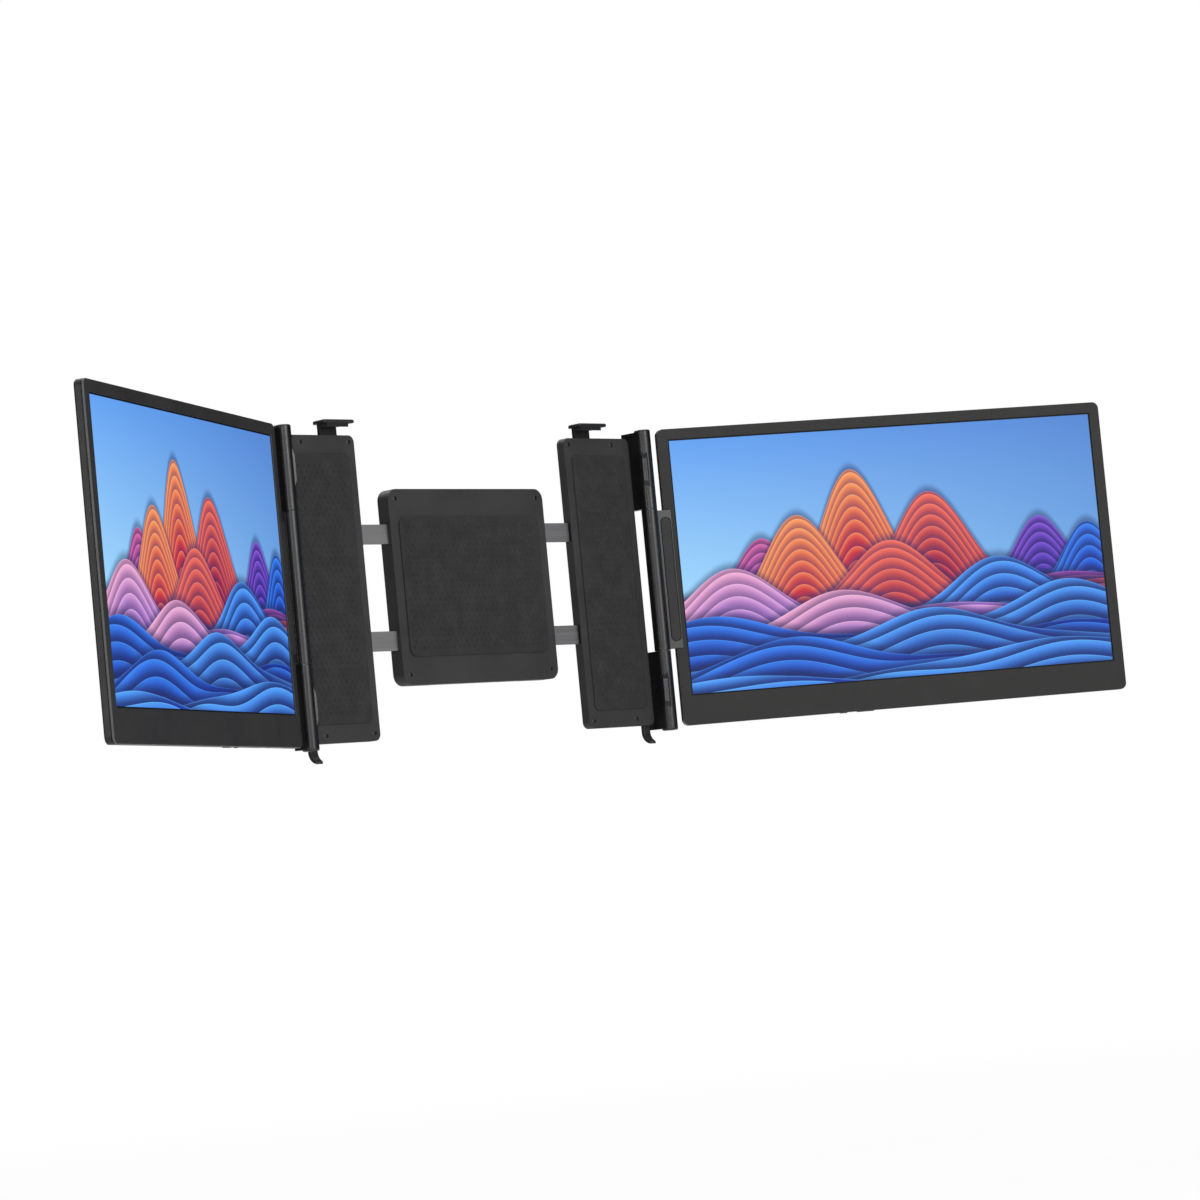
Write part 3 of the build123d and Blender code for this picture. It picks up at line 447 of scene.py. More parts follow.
def coated_metal(name, colour, roughness, specular=0.35, wear=0.5):
    """Black satin coating over metal: faint orange peel, and grey where edges have rubbed."""
    material, tree, shader, place = new_finish(name, Specular_IOR_Level=specular)
    edges = place_group(tree, soft_edges, Radius=0.00035)
    peel = noise(tree, place, size=0.0011)
    cloud = noise(tree, place, size=0.018, detail=3.0)
    touch = place_group(tree, handling, Place=place)
    base = mix(tree, cloud, shade(colour, 0.8), shade(colour, 1.3))
    spots = between(tree, noise(tree, place, size=0.004, detail=4.0, roughness=0.6), 0.5, 0.75)
    patchy = calc(tree, "MULTIPLY", calc(tree, "MULTIPLY", edges["Edge"], spots), wear * 0.65)
    rubbed = calc(tree, "MULTIPLY_ADD", edges["Edge"], wear * 0.35, patchy)
    worn = mix(tree, rubbed, base, worn_colour)
    plug(tree, shader.inputs["Base Color"], mix(tree, touch["Dust"], worn, dust_colour))
    satin = swing(tree, cloud, roughness, 0.10)
    plug(tree, shader.inputs["Roughness"], calc(tree, "MULTIPLY_ADD", touch["Smudge"], 0.05, satin))
    raised = bump(tree, peel, strength=0.25, distance=0.00002, normal=edges["Normal"])
    plug(tree, shader.inputs["Normal"], raised)
    return material


def bare_metal(name, colour, roughness, lines=0.0002, stretch=60.0):
    """Bare metal with brushed or rolled lines along X."""
    material, tree, shader, place = new_finish(name, Metallic=1.0)
    edges = place_group(tree, soft_edges, Radius=0.0002)
    drawn = place_group(tree, brushed_lines, Place=place, Size=lines, Stretch=stretch)
    light = shade(colour, 1.1)
    base = mix(tree, drawn["Tone"], shade(colour, 0.66), light)
    plug(tree, shader.inputs["Base Color"], mix(tree, edges["Edge"], base, light))
    plug(tree, shader.inputs["Roughness"], swing(tree, drawn["Tone"], roughness, 0.16))
    raised = bump(tree, drawn["Height"], strength=0.35, distance=0.00001, normal=edges["Normal"])
    plug(tree, shader.inputs["Normal"], raised)
    return material


def soft_rubber(name, colour):
    """Matt silicone: very fine grain, and pale bloom and lint on it."""
    material, tree, shader, place = new_finish(name, Specular_IOR_Level=0.2)
    fine = noise(tree, place, size=0.0002, detail=3.0, roughness=0.65)
    bloom = noise(tree, place, size=0.014, detail=4.0, roughness=0.6)
    touch = place_group(tree, handling, Place=place)
    base = mix(tree, between(tree, bloom, 0.3, 0.75), shade(colour, 0.88), shade(colour, 1.28))
    lint = between(tree, noise(tree, place, size=0.0011, detail=1.0), 0.74, 0.8, 0.0, 0.25)
    pale = calc(tree, "MAXIMUM", touch["Dust"], lint)
    plug(tree, shader.inputs["Base Color"], mix(tree, pale, base, dust_colour))
    plug(tree, shader.inputs["Roughness"], swing(tree, bloom, 0.78, 0.2))
    shape = add_node(tree, "NewGeometry").outputs["Normal"]
    raised = bump(tree, fine, strength=0.4, distance=0.00002, normal=shape)
    plug(tree, shader.inputs["Normal"], raised)
    return material


def pale_plastic(name, colour, roughness):
    """Plain pale plastic of sliding guides and of the light guide's tray, with faint flow marks."""
    material, tree, shader, place = new_finish(name, Specular_IOR_Level=0.4)
    edges = place_group(tree, soft_edges, Radius=0.0003)
    skin = place_group(tree, moulded_grain, Place=place, Size=0.0006, Cloud=0.02)
    plug(tree, shader.inputs["Base Color"], mix(tree, skin["Tone"], shade(colour, 0.93), colour))
    plug(tree, shader.inputs["Roughness"], calc(tree, "MULTIPLY_ADD", skin["Tone"], 0.1, roughness))
    raised = bump(tree, skin["Height"], strength=0.3, distance=0.00001, normal=edges["Normal"])
    plug(tree, shader.inputs["Normal"], raised)
    return material


def sintered_bronze():
    """Sintered bush: open pores, dark with oil."""
    material, tree, shader, place = new_finish("sintered_bronze", Metallic=1.0)
    pores = add_node(tree, "TexVoronoi", Vector=place, Scale=3200.0).outputs["Distance"]
    oil = noise(tree, place, size=0.003, detail=3.0, roughness=0.6)
    base = mix(tree, oil, (0.34, 0.21, 0.09, 1), (0.6, 0.42, 0.2, 1))
    dark_pores = between(tree, pores, 0.1, 0.3, 0.8, 0.0)
    plug(tree, shader.inputs["Base Color"], mix(tree, dark_pores, base, (0.05, 0.03, 0.015, 1)))
    plug(tree, shader.inputs["Roughness"], calc(tree, "MULTIPLY_ADD", oil, 0.2, 0.35))
    shape = add_node(tree, "NewGeometry").outputs["Normal"]
    raised = bump(tree, pores, strength=0.5, distance=0.00003, normal=shape)
    plug(tree, shader.inputs["Normal"], raised)
    return material


def solder_mask(side):
    """Circuit board: tracks under green mask, and scattered bare gold pads."""
    material, tree, shader, place = new_finish(f"{side}_solder_mask", Specular_IOR_Level=0.5)
    flat = display_place(tree, place, side, 0.01)
    board = add_node(tree, "CombineXYZ", X=flat["X"], Y=flat["Z"]).outputs["Vector"]
    tracks = add_node(
        tree, "TexBrick", {"offset": 0.37, "squash": 0.6, "squash_frequency": 3}, Vector=board, Scale=9.0
    )
    for socket, value in (("Mortar Size", 0.03), ("Brick Width", 1.3), ("Row Height", 0.22)):
        tracks.inputs[socket].default_value = value
    vias = add_node(tree, "TexVoronoi", Vector=board, Scale=7.0).outputs["Distance"]
    green = mix(tree, tracks.outputs["Fac"], (0.006, 0.07, 0.028, 1), (0.012, 0.13, 0.05, 1))
    pads = between(tree, vias, 0.1, 0.12, 1.0, 0.0)
    plug(tree, shader.inputs["Base Color"], mix(tree, pads, green, (0.62, 0.45, 0.17, 1)))
    plug(tree, shader.inputs["Metallic"], pads)
    plug(tree, shader.inputs["Roughness"], between(tree, vias, 0.0, 0.5, 0.3, 0.42))
    return material


# ---------------------------------------------------------------- wallpaper: terraced hills under a sky
def terraced_hill_group():
    """One range of terraced hills, in front of the picture behind it."""
    colours = {name: ("Color", (0, 0, 0, 1)) for name in ("Behind", "Crest", "Foot")}
    numbers = {name: ("Float", 0.0) for name in ("Across", "Up") + hill_values}
    tree, given, out = new_tree("terraced_hill", colours | numbers, {"Color": "Color"})
    across, height = given["Across"], given["Up"]
    offset = calc(tree, "DIVIDE", calc(tree, "SUBTRACT", across, given["Centre"]), given["Width"])
    mound = calc(tree, "EXPONENT", calc(tree, "MULTIPLY", calc(tree, "MULTIPLY", offset, offset), -1.0))
    wave = calc(tree, "SINE", calc(tree, "MULTIPLY_ADD", across, given["Waves"], given["Phase"]))
    line = calc(tree, "MULTIPLY_ADD", mound, given["Height"], given["Base"])
    line = calc(tree, "MULTIPLY_ADD", wave, given["Ripple"], line)
    depth = calc(tree, "SUBTRACT", line, height)
    # Each terrace steps down from a bright lip to a dark foot
    sway = calc(tree, "SINE", calc(tree, "MULTIPLY_ADD", across, 7.0, given["Phase"]))
    below = calc(tree, "DIVIDE", depth, given["Terrace"])
    steps = calc(tree, "MULTIPLY_ADD", sway, terrace_sway, calc(tree, "ADD", below, first_terrace))
    step = calc(tree, "FRACT", calc(tree, "POWER", calc(tree, "MAXIMUM", steps, 0.0), terrace_growth))
    edge = calc(tree, "MINIMUM", step, calc(tree, "ABSOLUTE", below))
    lip = between(tree, edge, 0.0, lip_width, lip_strength, 0.0)
    glow = between(tree, step, 0.0, glow_width, glow_strength, 0.0)
    hollow = calc(tree, "MULTIPLY", between(tree, step, 0.12, 0.95), given["Relief"])
    body = mix(tree, between(tree, depth, 0.0, 0.30, smooth=False), given["Crest"], given["Foot"])
    shaded = mix(tree, hollow, body, terrace_shade)
    turned = mix(tree, between(tree, offset, 0.1, 1.5, 0.0, 0.5), shaded, given["Foot"])
    glowing = mix(tree, glow, turned, given["Crest"], "SCREEN")
    lit = mix(tree, lip, glowing, given["Crest"], "SCREEN")
    # Soft shadow that the hill throws on what is behind it
    shadow = between(tree, depth, -0.04, 0.0, 0.0, 0.6)
    behind = mix(tree, shadow, given["Behind"], hill_shadow)
    plug(tree, out["Color"], mix(tree, between(tree, depth, -0.0012, 0.0012), behind, lit))
    return tree


# Terraces: where the first one starts, how they sway, and how they widen downhill
first_terrace = 0.36
terrace_sway = 0.34
terrace_growth = 0.86
lip_width, lip_strength = 0.085, 0.62
glow_width, glow_strength = 0.45, 0.30
terrace_shade = (0.004, 0.008, 0.11, 1)
hill_shadow = (0.01, 0.02, 0.12, 1)

# Ranges from the back to the front, in display heights
hill_values = ("Base", "Height", "Centre", "Width", "Ripple", "Waves", "Phase", "Terrace", "Relief")
violet, indigo = srgb(122, 74, 200), srgb(44, 42, 176)
orchid, purple = srgb(206, 96, 158), srgb(104, 50, 176)
orange, coral = srgb(250, 150, 92), srgb(216, 52, 58)
salmon, crimson = srgb(240, 106, 88), srgb(168, 28, 60)
blush, plum = srgb(238, 166, 206), srgb(76, 62, 204)
azure, cobalt = srgb(74, 148, 248), srgb(6, 44, 186)
cornflower, navy = srgb(50, 118, 236), srgb(2, 24, 148)
hill_ranges = (
    ((0.34, 0.26, 1.52, 0.15, 0.010, 14.0, 0.4, 0.030, 0.7), violet, indigo),
    ((0.30, 0.26, 1.72, 0.15, 0.008, 11.0, 2.0, 0.034, 0.7), cornflower, cobalt),
    ((0.36, 0.24, 0.34, 0.14, 0.012, 12.0, 1.1, 0.028, 0.6), orchid, purple),
    ((0.34, 0.49, 0.74, 0.19, 0.012, 9.0, 2.2, 0.034, 0.5), orange, coral),
    ((0.32, 0.40, 1.06, 0.22, 0.014, 8.0, 0.2, 0.032, 0.55), salmon, crimson),
    ((0.30, 0.36, 0.50, 0.20, 0.012, 10.0, 3.3, 0.030, 0.5), orange, coral),
    ((0.26, 0.29, 0.86, 0.25, 0.014, 9.0, 4.6, 0.032, 0.55), salmon, crimson),
    ((0.25, 0.20, 1.30, 0.26, 0.018, 7.0, 3.6, 0.040, 0.75), azure, cobalt),
    ((0.27, 0.20, 0.20, 0.24, 0.014, 8.0, 5.4, 0.036, 0.5), blush, plum),
    ((0.20, 0.17, 0.62, 0.30, 0.020, 6.5, 1.9, 0.040, 0.6), blush, cobalt),
    ((0.18, 0.18, 1.62, 0.28, 0.018, 6.0, 0.8, 0.044, 0.8), azure, navy),
    ((0.16, 0.15, 0.16, 0.32, 0.020, 7.0, 2.8, 0.044, 0.8), cornflower, navy),
    ((0.11, 0.18, 1.02, 0.32, 0.020, 6.0, 5.0, 0.046, 0.8), azure, navy),
    ((0.06, 0.14, 0.50, 0.34, 0.018, 6.5, 0.3, 0.046, 0.8), cornflower, navy),
    ((0.02, 0.11, 1.50, 0.38, 0.018, 6.0, 2.4, 0.048, 0.85), azure, navy),
    ((-0.02, 0.09, 0.16, 0.40, 0.014, 6.0, 4.1, 0.048, 0.85), azure, cobalt),
)


def wallpaper_group():
    """Picture on a display, from places across and up it, in display heights."""
    places = {"Across": ("Float", 0.0), "Up": ("Float", 0.0)}
    tree, given, out = new_tree("wallpaper", places, {"Color": "Color"})
    side = between(tree, given["Across"], 0.0, display_size[0] / display_size[1], smooth=False)
    rise = between(tree, given["Up"], 0.40, 1.0, smooth=False)
    low = mix(tree, side, srgb(158, 214, 252), srgb(112, 168, 230))
    high = mix(tree, side, srgb(98, 161, 242), srgb(84, 134, 211))
    colour = mix(tree, rise, low, high)
    hill = terraced_hill_group()
    for values, crest, foot in hill_ranges:
        shape = dict(zip(hill_values, values))
        shape |= {"Across": given["Across"], "Up": given["Up"]}
        colour = place_group(tree, hill, Behind=colour, Crest=crest, Foot=foot, **shape)["Color"]
    plug(tree, out["Color"], colour)
    return tree


def lit_display(side, wallpaper):
    """Display behind its matte film: the picture, and a thin unlit border round it that also stands as
    painted shade under the bezel's recess wall.
    """
    material, tree, shader, place = new_finish(
        f"{side}_lit_display",
        Base_Color=grey(0.004, 1.25),
        Roughness=0.45,
        Specular_IOR_Level=0.08,
        Emission_Strength=1.0,
    )
    flat = display_place(tree, place, side, display_size[1])
    wide = display_size[0] / display_size[1]
    border = unlit_border_and_shade / display_size[1]
    inside_x = calc(tree, "SUBTRACT", wide / 2, calc(tree, "ABSOLUTE", flat["X"]))
    inside_z = calc(tree, "SUBTRACT", 0.5, calc(tree, "ABSOLUTE", flat["Z"]))
    inside = between(tree, calc(tree, "MINIMUM", inside_x, inside_z), border * 0.9, border * 1.1)
    across = calc(tree, "ADD", flat["X"], wide / 2)
    picture = place_group(tree, wallpaper, Across=across, Up=calc(tree, "ADD", flat["Z"], 0.5))["Color"]
    # Near-black border: the panel's unlit edge, widened into painted shade of the bezel's recess wall
    plug(tree, shader.inputs["Emission Color"], mix(tree, inside, (0.0006, 0.0008, 0.0012, 1), picture))
    return material


# ---------------------------------------------------------------- finishes of the CAD nodes
finishes = {
    "backlight": pale_plastic("backlight", grey(0.75), roughness=0.3),
    "socket_metal": bare_metal("socket_metal", grey(0.6), roughness=0.28),
    "screw_steel": bare_metal("screw_steel", grey(0.06), roughness=0.36, lines=0.0003, stretch=1.0),
    "hinge_metal": coated_metal("hinge_metal", grey(0.003), roughness=0.28, specular=0.42, wear=0.3),
    "pad_plastic": moulded_plastic("pad_plastic", grey(0.019), specular=0.16, grain=0.0003, depth=0.00002),
    "plate_steel": bare_metal("plate_steel", grey(0.45, 1.02), roughness=0.34, lines=0.0003),
    "bush_bronze": sintered_bronze(),
    "bracket_plastic": moulded_plastic(
        "bracket_plastic", grey(0.024), roughness=0.55, grain=0.0006, depth=0.00005
    ),
    "silicone": soft_rubber("silicone", grey(0.02)),
    "bar_steel": bare_metal("bar_steel", grey(0.33, 1.02), roughness=0.42),
    "hook_metal": coated_metal("hook_metal", grey(0.008), roughness=0.4, specular=0.3, wear=0.6),
    "guide_plastic": pale_plastic("guide_plastic", grey(0.8, 0.97), roughness=0.38),
    "button_plastic": moulded_plastic(
        "button_plastic", grey(0.02), roughness=0.42, specular=0.3, grain=0.0003, depth=0.00001, edge=0.0002
    ),
    "stand_metal": coated_metal("stand_metal", grey(0.03, 1.04), roughness=0.42),
}
wallpaper = wallpaper_group()
side_finishes = {
    side: {
        "case_plastic": bezel_plastic(side),
        "case_back": anodised_back(side),
        "circuit_board": solder_mask(side),
        "display": lit_display(side, wallpaper),
    }
    for side in sides
}
for part in record["subparts"]:
    node, slot = part["node"], part["material_slot"]
    mesh = nodes[node].data
    mesh.materials.clear()
    mesh.materials.append(finishes.get(slot) or side_finishes[node.split("_")[0]][slot])


# ---------------------------------------------------------------- pieces
def keep_piece(bm, name, slot, body, *replaced):
    """Makes an object of a bmesh, with its finish and its body, and hides the nodes it stands for."""
    bmesh.ops.recalc_face_normals(bm, faces=bm.faces)
    mesh = bpy.data.meshes.new(name)
    bm.to_mesh(mesh)
    bm.free()
    mesh.materials.append(finishes[slot])
    mesh.shade_smooth()
    mesh.set_sharp_from_angle(angle=radians(sharp_angle))
    piece = bpy.data.objects.new(name, mesh)
    bpy.context.collection.objects.link(piece)
    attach(piece, body)
    if replaced:
        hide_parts(*replaced)
    return piece


def islands(node):
    """Corners of each separate solid of a CAD node."""
    bm = bmesh.new()
    bm.from_mesh(nodes[node].data)
    bmesh.ops.remove_doubles(bm, verts=bm.verts, dist=merge_distance)
    seen, found = set(), []
    for start in bm.verts:
        if start in seen:
            continue
        seen.add(start)
        corners, front = [], [start]
        while front:
            vert = front.pop()
            corners.append(vert.co.copy())
            for edge in vert.link_edges:
                other = edge.other_vert(vert)
                if other not in seen:
                    seen.add(other)
                    front.append(other)
        found.append(corners)
    bm.free()
    return found


def lathe(outline, steps):
    """Bmesh of an outline of (radius, height) points turned about Z, closed at both poles."""
    bm = bmesh.new()
    corners = [bm.verts.new((radius, 0, height)) for radius, height in outline]
    edges = [bm.edges.new(pair) for pair in zip(corners, corners[1:])]
    bmesh.ops.spin(
        bm, geom=corners + edges, axis=(0, 0, 1), cent=(0, 0, 0), angle=tau, steps=steps, use_merge=True
    )
    bmesh.ops.remove_doubles(bm, verts=bm.verts, dist=merge_distance)
    return bm


def screw(length):
    """Countersunk screw with its head's face at the origin, looking up, and a six-lobed drive."""
    head_depth = screw_head_radius - screw_radius
    root = screw_radius - screw_thread
    outline = [
        (0, -drive_depth),
        (drive_radius * drive_floor_share, -drive_depth),
        (drive_radius, -drive_depth * drive_wall_share),
        (drive_radius, -drive_mouth[1]),
        (drive_radius + drive_mouth[0], 0),
        (screw_head_radius - screw_head_edge[0], 0),
        (screw_head_radius, -screw_head_edge[1]),
        (screw_radius, -head_depth),
    ]
    depth = head_depth + screw_pitch
    while depth < length - screw_pitch:
        outline += [(root, -depth), (screw_radius, -depth - screw_pitch / 2)]
        depth += screw_pitch
    outline += [(root, -length + screw_thread), (screw_radius * screw_tip_share, -length), (0, -length)]
    bm = lathe(outline, screw_steps)
    for vert in bm.verts:
        radius = vert.co.xy.length
        if 0 < radius < drive_radius + tiny and vert.co.z > -drive_depth - tiny:
            turn = vert.co.xy.angle_signed(Vector((1, 0)))
            vert.co.xy *= 1 + drive_lobe_depth * cos(drive_lobes * turn)
    return bm


def add_shape(bm, shape, matrix):
    """Adds a bmesh to another at a place, and frees it."""
    bmesh.ops.transform(shape, matrix=matrix, verts=shape.verts)
    mesh = bpy.data.meshes.new("shape")
    shape.to_mesh(mesh)
    shape.free()
    bm.from_mesh(mesh)
    bpy.data.meshes.remove(mesh)


def screw_set(name, body, node, way):
    """Screws in place of a node's plain ones, with their heads looking along a way."""
    bm = bmesh.new()
    turn = way.to_track_quat("Z", "Y").to_matrix().to_4x4()
    for corners in islands(node):
        heights = [corner.dot(way) for corner in corners]
        middle = sum(corners, Vector()) / len(corners)
        seat = middle + way * (max(heights) - middle.dot(way))
        add_shape(bm, screw(max(heights) - min(heights)), Matrix.Translation(seat) @ turn)
    keep_piece(bm, name, "screw_steel", body, node)


def slab(low, high, corner, along="y", segments=8):
    """Bmesh of a box between two corners, with rounded corners about one axis."""
    bm = bmesh.new()
    bmesh.ops.create_cube(bm, size=1)
    bmesh.ops.scale(bm, vec=high - low, verts=bm.verts)
    bmesh.ops.translate(bm, vec=(low + high) / 2, verts=bm.verts)
    axis = "xyz".index(along)
    upright = [e for e in bm.edges if abs((e.verts[0].co - e.verts[1].co).normalized()[axis]) > 0.9]
    bmesh.ops.bevel(
        bm, geom=upright, offset=corner, segments=segments, affect="EDGES", profile=0.5, material=-1
    )
    return bm


def faces_towards(bm, way, limit=0.9):
    """Faces that look along a way."""
    bm.normal_update()
    return [face for face in bm.faces if face.normal.dot(way) > limit]


def round_rim(bm, faces, offset, segments=2):
    """Rounds the outer edges of some faces."""
    rim = [edge for edge in bm.edges if sum(face in faces for face in edge.link_faces) == 1]
    bmesh.ops.bevel(
        bm, geom=rim, offset=offset, segments=segments, affect="EDGES", profile=0.5, material=-1
    )


def dotted_pad(name, body, node, corner):
    """Anti-slip pad on the bracket's front: a rim round a field of small raised dots."""
    low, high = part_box(node)
    bm = slab(low, high, corner)
    front = faces_towards(bm, to_user)
    round_rim(bm, front, pad_rim_round)
    front = faces_towards(bm, to_user, 0.99)
    bmesh.ops.inset_region(bm, faces=front, thickness=pad_rim, depth=-pad_floor, use_even_offset=True)
    centre, size = (low + high) / 2, high - low
    margin = pad_rim + dot_radius * dot_room
    row_pitch = dot_pitch * dot_row_share
    dot_height = pad_floor + dot_sink
    rows = int((size.z / 2 - margin) / row_pitch)
    for row in range(-rows, rows + 1):
        odd = row % 2
        shift = dot_pitch / 2 * odd
        columns = int((size.x / 2 - margin - shift) / dot_pitch)
        for column in range(-columns - odd, columns + 1):
            spot = (column * dot_pitch + shift, 0, row * row_pitch)
            place = Vector((centre.x, low.y + dot_height / 2, centre.z)) + Vector(spot)
            bmesh.ops.create_cone(
                bm,
                cap_ends=True,
                segments=12,
                radius1=dot_radius,
                radius2=dot_top_radius,
                depth=dot_height,
                matrix=Matrix.Translation(place) @ Matrix.Rotation(radians(90), 4, "X"),
            )
    keep_piece(bm, name, "silicone", body, node)


def add_rib(bm, start, end):
    """Round rib between two points."""
    way = end - start
    bmesh.ops.create_cone(
        bm,
        cap_ends=True,
        segments=12,
        radius1=rib_radius,
        radius2=rib_radius,
        depth=way.length,
        matrix=Matrix.Translation((start + end) / 2) @ way.to_track_quat("Z", "Y").to_matrix().to_4x4(),
    )


def ribbed_clip_pad(side):
    """Pad under a clip's plate, with ribs that grip the lid's edge."""
    node = f"{side}_clip_pad"
    low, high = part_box(node)
    bm = slab(low + Vector((0, 0, rib_radius)), high, clip_pad_corner, "z", 4)
    for rib in range(clip_rib_count):
        y = low.y + (high.y - low.y) * (rib + 1) / (clip_rib_count + 1)
        start = Vector((low.x + clip_rib_gap, y, low.z + rib_radius))
        add_rib(bm, start, Vector((high.x - clip_rib_gap, y, low.z + rib_radius)))
    keep_piece(bm, f"{side}_ribbed_clip_pad", "silicone", f"{side}_clip", node)


def ribbed_stand_foot():
    """Rubber tip of the kickstand, rounded at its top corners and ribbed on both faces."""
    low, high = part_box("kickstand_foot")
    inset = Vector((0, rib_radius, 0))
    bm = bmesh.new()
    bmesh.ops.create_cube(bm, size=1)
    bmesh.ops.scale(bm, vec=high - low - 2 * inset, verts=bm.verts)
    bmesh.ops.translate(bm, vec=(low + high) / 2, verts=bm.verts)
    top = [e for e in bm.edges if all(v.co.z > (low.z + high.z) / 2 for v in e.verts)]
    ends = [e for e in top if abs(e.verts[0].co.x - e.verts[1].co.x) < tiny]
    bmesh.ops.bevel(
        bm, geom=ends, offset=foot_corner, segments=8, affect="EDGES", profile=0.5, material=-1
    )
    for way in (to_user, -to_user):
        round_rim(bm, faces_towards(bm, way), foot_rim_round)
    for y in (low.y + rib_radius, high.y - rib_radius):
        for rib in range(foot_rib_count):
            z = low.z + foot_rib_height + rib * foot_rib_pitch
            add_rib(bm, Vector((low.x + foot_rib_gap, y, z)), Vector((high.x - foot_rib_gap, y, z)))
    keep_piece(bm, "ribbed_stand_foot", "silicone", "kickstand", "kickstand_foot")


def contacts(side, socket, count, pitch, tongue):
    """Rows of flat contacts on both faces of a socket's tongue."""
    outward, facing = display_axes(side)
    own_axes = (outward, -facing, up)
    turn = Matrix(own_axes).transposed().to_4x4()
    bm = bmesh.new()
    for corners in islands(f"{side}_{socket}"):
        spread = [[corner.dot(way) for corner in corners] for way in own_axes]
        across, depth = ((min(values) + max(values)) / 2 for values in spread[:2])
        mouth = min(spread[2])
        for row in (-1, 1):
            for number in range(count):
                place = (
                    across + (number - (count - 1) / 2) * pitch,
                    depth + row * tongue / 2,
                    mouth + contact_setback + contact_size[2] / 2,
                )
                shape = bmesh.new()
                bmesh.ops.create_cube(shape, size=1)
                bmesh.ops.scale(shape, vec=contact_size, verts=shape.verts)
                add_shape(bm, shape, turn @ Matrix.Translation(place))
    keep_piece(bm, f"{side}_{socket}_contacts", "bush_bronze", f"{side}_screen")


for side in sides:
    outward, facing = display_axes(side)
    screw_set(f"{side}_lobed_case_screws", f"{side}_screen", f"{side}_case_screws", -facing)
    screw_set(f"{side}_lobed_arm_screws", f"{side}_arm", f"{side}_arm_screws", to_user)
    dotted_pad(f"{side}_dotted_arm_pad", f"{side}_arm", f"{side}_arm_pad", arm_pad_corner)
    ribbed_clip_pad(side)
    contacts(side, "usb_c_sockets", count=12, pitch=0.0005, tongue=0.0007)
    contacts(side, "hdmi_socket", count=10, pitch=0.0007, tongue=0.0008)
screw_set("lobed_centre_screws", "centre", "centre_screws", to_user)
dotted_pad("dotted_lid_pad", "centre", "lid_pad", lid_pad_corner)
ribbed_stand_foot()


# ---------------------------------------------------------------- stage
def make_camera():
    """Camera at the front left, a little below the object's middle."""
    camera = bpy.data.objects.new("camera", bpy.data.cameras.new("camera"))
    bpy.context.collection.objects.link(camera)
    forward = camera_right.cross(camera_down)
    camera.matrix_world = Matrix((camera_right, -camera_down, -forward)).transposed().to_4x4()
    camera.location = camera_place
    camera.data.lens = camera_lens
    camera.data.sensor_width = 36
    camera.data.clip_end = 30
    bpy.context.scene.camera = camera


def seen_directly(tree):
    """1 for camera, glossy and transmission rays, which see the white background."""
    rays = add_node(tree, "LightPath").outputs
    seen = calc(tree, "MAXIMUM", rays["Is Camera Ray"], rays["Is Glossy Ray"])
    return calc(tree, "MAXIMUM", seen, rays["Is Transmission Ray"])


def make_world():
    """White background that lights the object at a lower level."""
    world = bpy.data.worlds.new("studio")
    bpy.context.scene.world = world
    world.use_nodes = True
    tree = world.node_tree
    background = tree.nodes["Background"]
    background.inputs["Color"].default_value = (1, 1, 1, 1)
    strength = between(tree, seen_directly(tree), 0, 1, world_strength, 1.0, smooth=False)
    plug(tree, background.inputs["Strength"], strength)


def softbox(name, place, size, power):
    """Rectangular lamp that looks at the object's middle."""
    lamp = bpy.data.lights.new(name, "AREA")
    lamp.shape = "RECTANGLE"
    lamp.size, lamp.size_y = size
    lamp.energy = power
    box = bpy.data.objects.new(name, lamp)
    bpy.context.collection.objects.link(box)
    box.location = place
    box.rotation_euler = (-Vector(place)).to_track_quat("-Z", "Y").to_euler()


def open_side(place):
    """True at the front right, where the studio has no dark wall."""
    return wall_opening[0] < degrees(atan2(place.y, place.x)) < wall_opening[1]


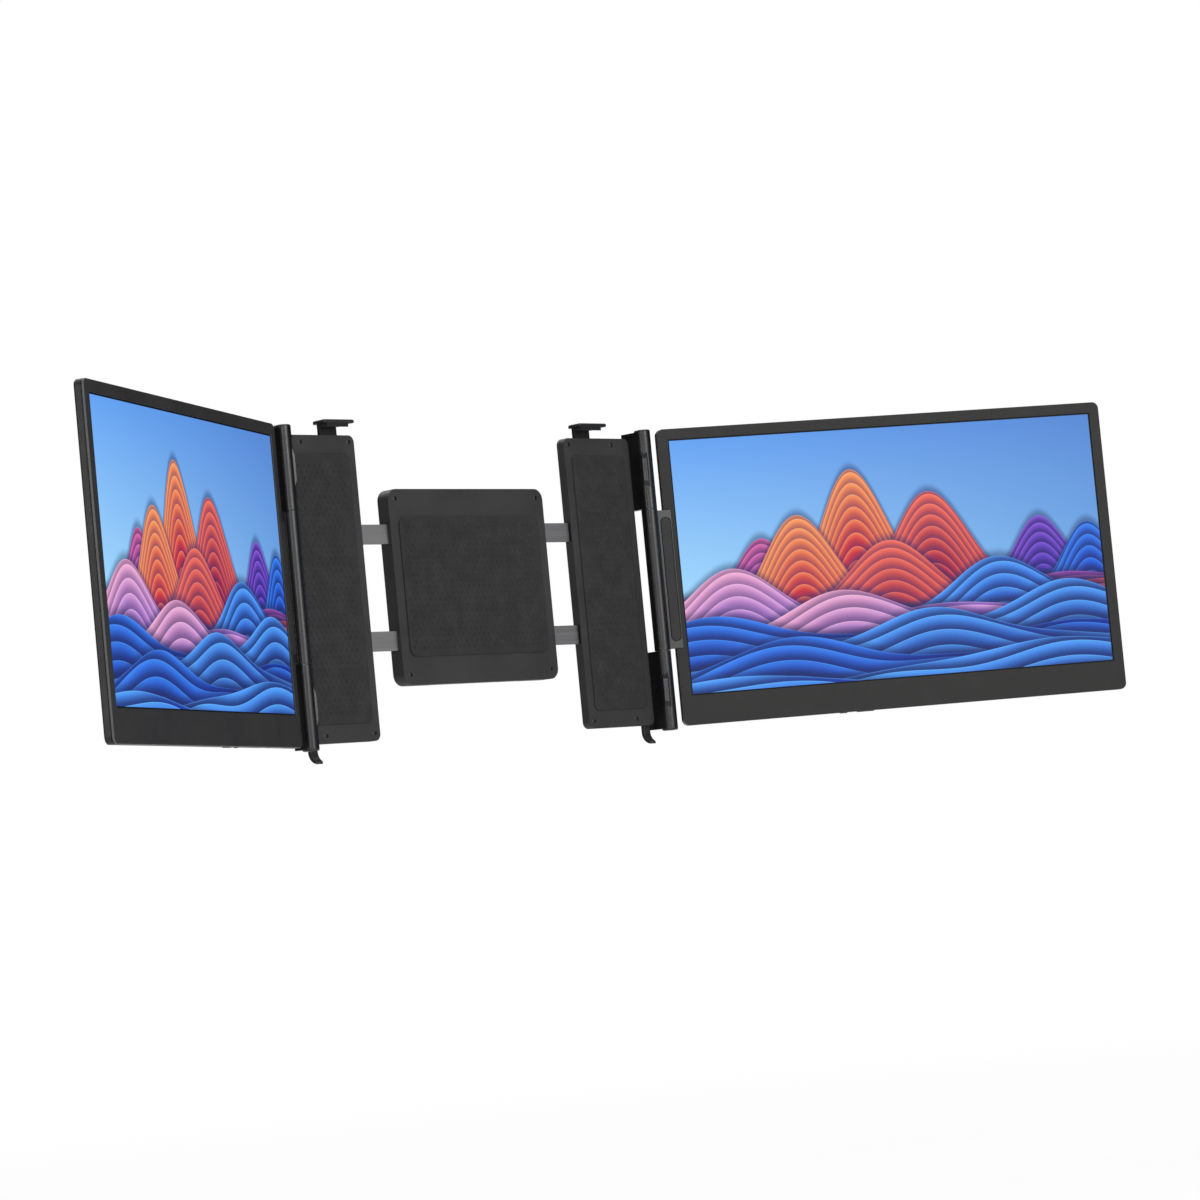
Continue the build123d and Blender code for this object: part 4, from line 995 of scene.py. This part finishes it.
def make_dark_walls():
    """Dark walls round the back and the left of the studio, which only reflections see."""
    bm = bmesh.new()
    bmesh.ops.create_circle(bm, segments=64, radius=wall_distance)
    bmesh.ops.delete(bm, geom=[v for v in bm.verts if open_side(v.co)], context="VERTS")
    made = bmesh.ops.extrude_edge_only(bm, edges=bm.edges[:])["geom"]
    rim = [item for item in made if isinstance(item, bmesh.types.BMVert)]
    bmesh.ops.translate(bm, verts=rim, vec=(0, 0, wall_height))
    bmesh.ops.translate(bm, verts=bm.verts, vec=(0, 0, wall_low))
    mesh = bpy.data.meshes.new("dark_walls")
    bm.to_mesh(mesh)
    bm.free()
    walls = bpy.data.objects.new("dark_walls", mesh)
    bpy.context.collection.objects.link(walls)
    for ray in ("camera", "diffuse", "shadow", "transmission"):
        setattr(walls, f"visible_{ray}", False)
    material = new_finish(
        "dark_walls",
        Base_Color=grey(0),
        Specular_IOR_Level=0.0,
        Emission_Color=grey(wall_glow),
        Emission_Strength=1.0,
    )[0]
    mesh.materials.append(material)


def make_floor():
    """Pale floor that fades into the white background, and can be looked through from below."""
    bm = bmesh.new()
    bmesh.ops.create_grid(bm, x_segments=1, y_segments=1, size=floor_half_size)
    bmesh.ops.translate(bm, verts=bm.verts, vec=(0, 0, floor_height))
    mesh = bpy.data.meshes.new("floor")
    bm.to_mesh(mesh)
    bm.free()
    floor = bpy.data.objects.new("floor", mesh)
    bpy.context.collection.objects.link(floor)
    material, tree, shader, place = new_finish("floor")
    tree.nodes.remove(shader)
    reach = add_node(tree, "VectorMath", {"operation": "LENGTH"})
    plug(tree, reach.inputs[0], place)
    white = between(tree, reach.outputs["Value"], *floor_fade, floor_near_white, 1.0)
    diffuse = add_node(tree, "BsdfDiffuse", Color=(0.85, 0.85, 0.85, 1))
    glow = add_node(tree, "Emission", Color=(1, 1, 1, 1))
    clear = add_node(tree, "BsdfTransparent")
    top = add_node(tree, "MixShader", Fac=calc(tree, "MULTIPLY", seen_directly(tree), white))
    both = add_node(tree, "MixShader", Fac=add_node(tree, "NewGeometry").outputs["Backfacing"])
    for socket, source in (
        (top.inputs[1], diffuse),
        (top.inputs[2], glow),
        (both.inputs[1], top),
        (both.inputs[2], clear),
        (tree.nodes["Material Output"].inputs["Surface"], both),
    ):
        tree.links.new(source.outputs[0], socket)
    mesh.materials.append(material)


make_camera()
make_world()
make_floor()
make_dark_walls()
for lamp in lamps:
    softbox(*lamp)
bpy.context.scene.view_settings.view_transform = "Standard"
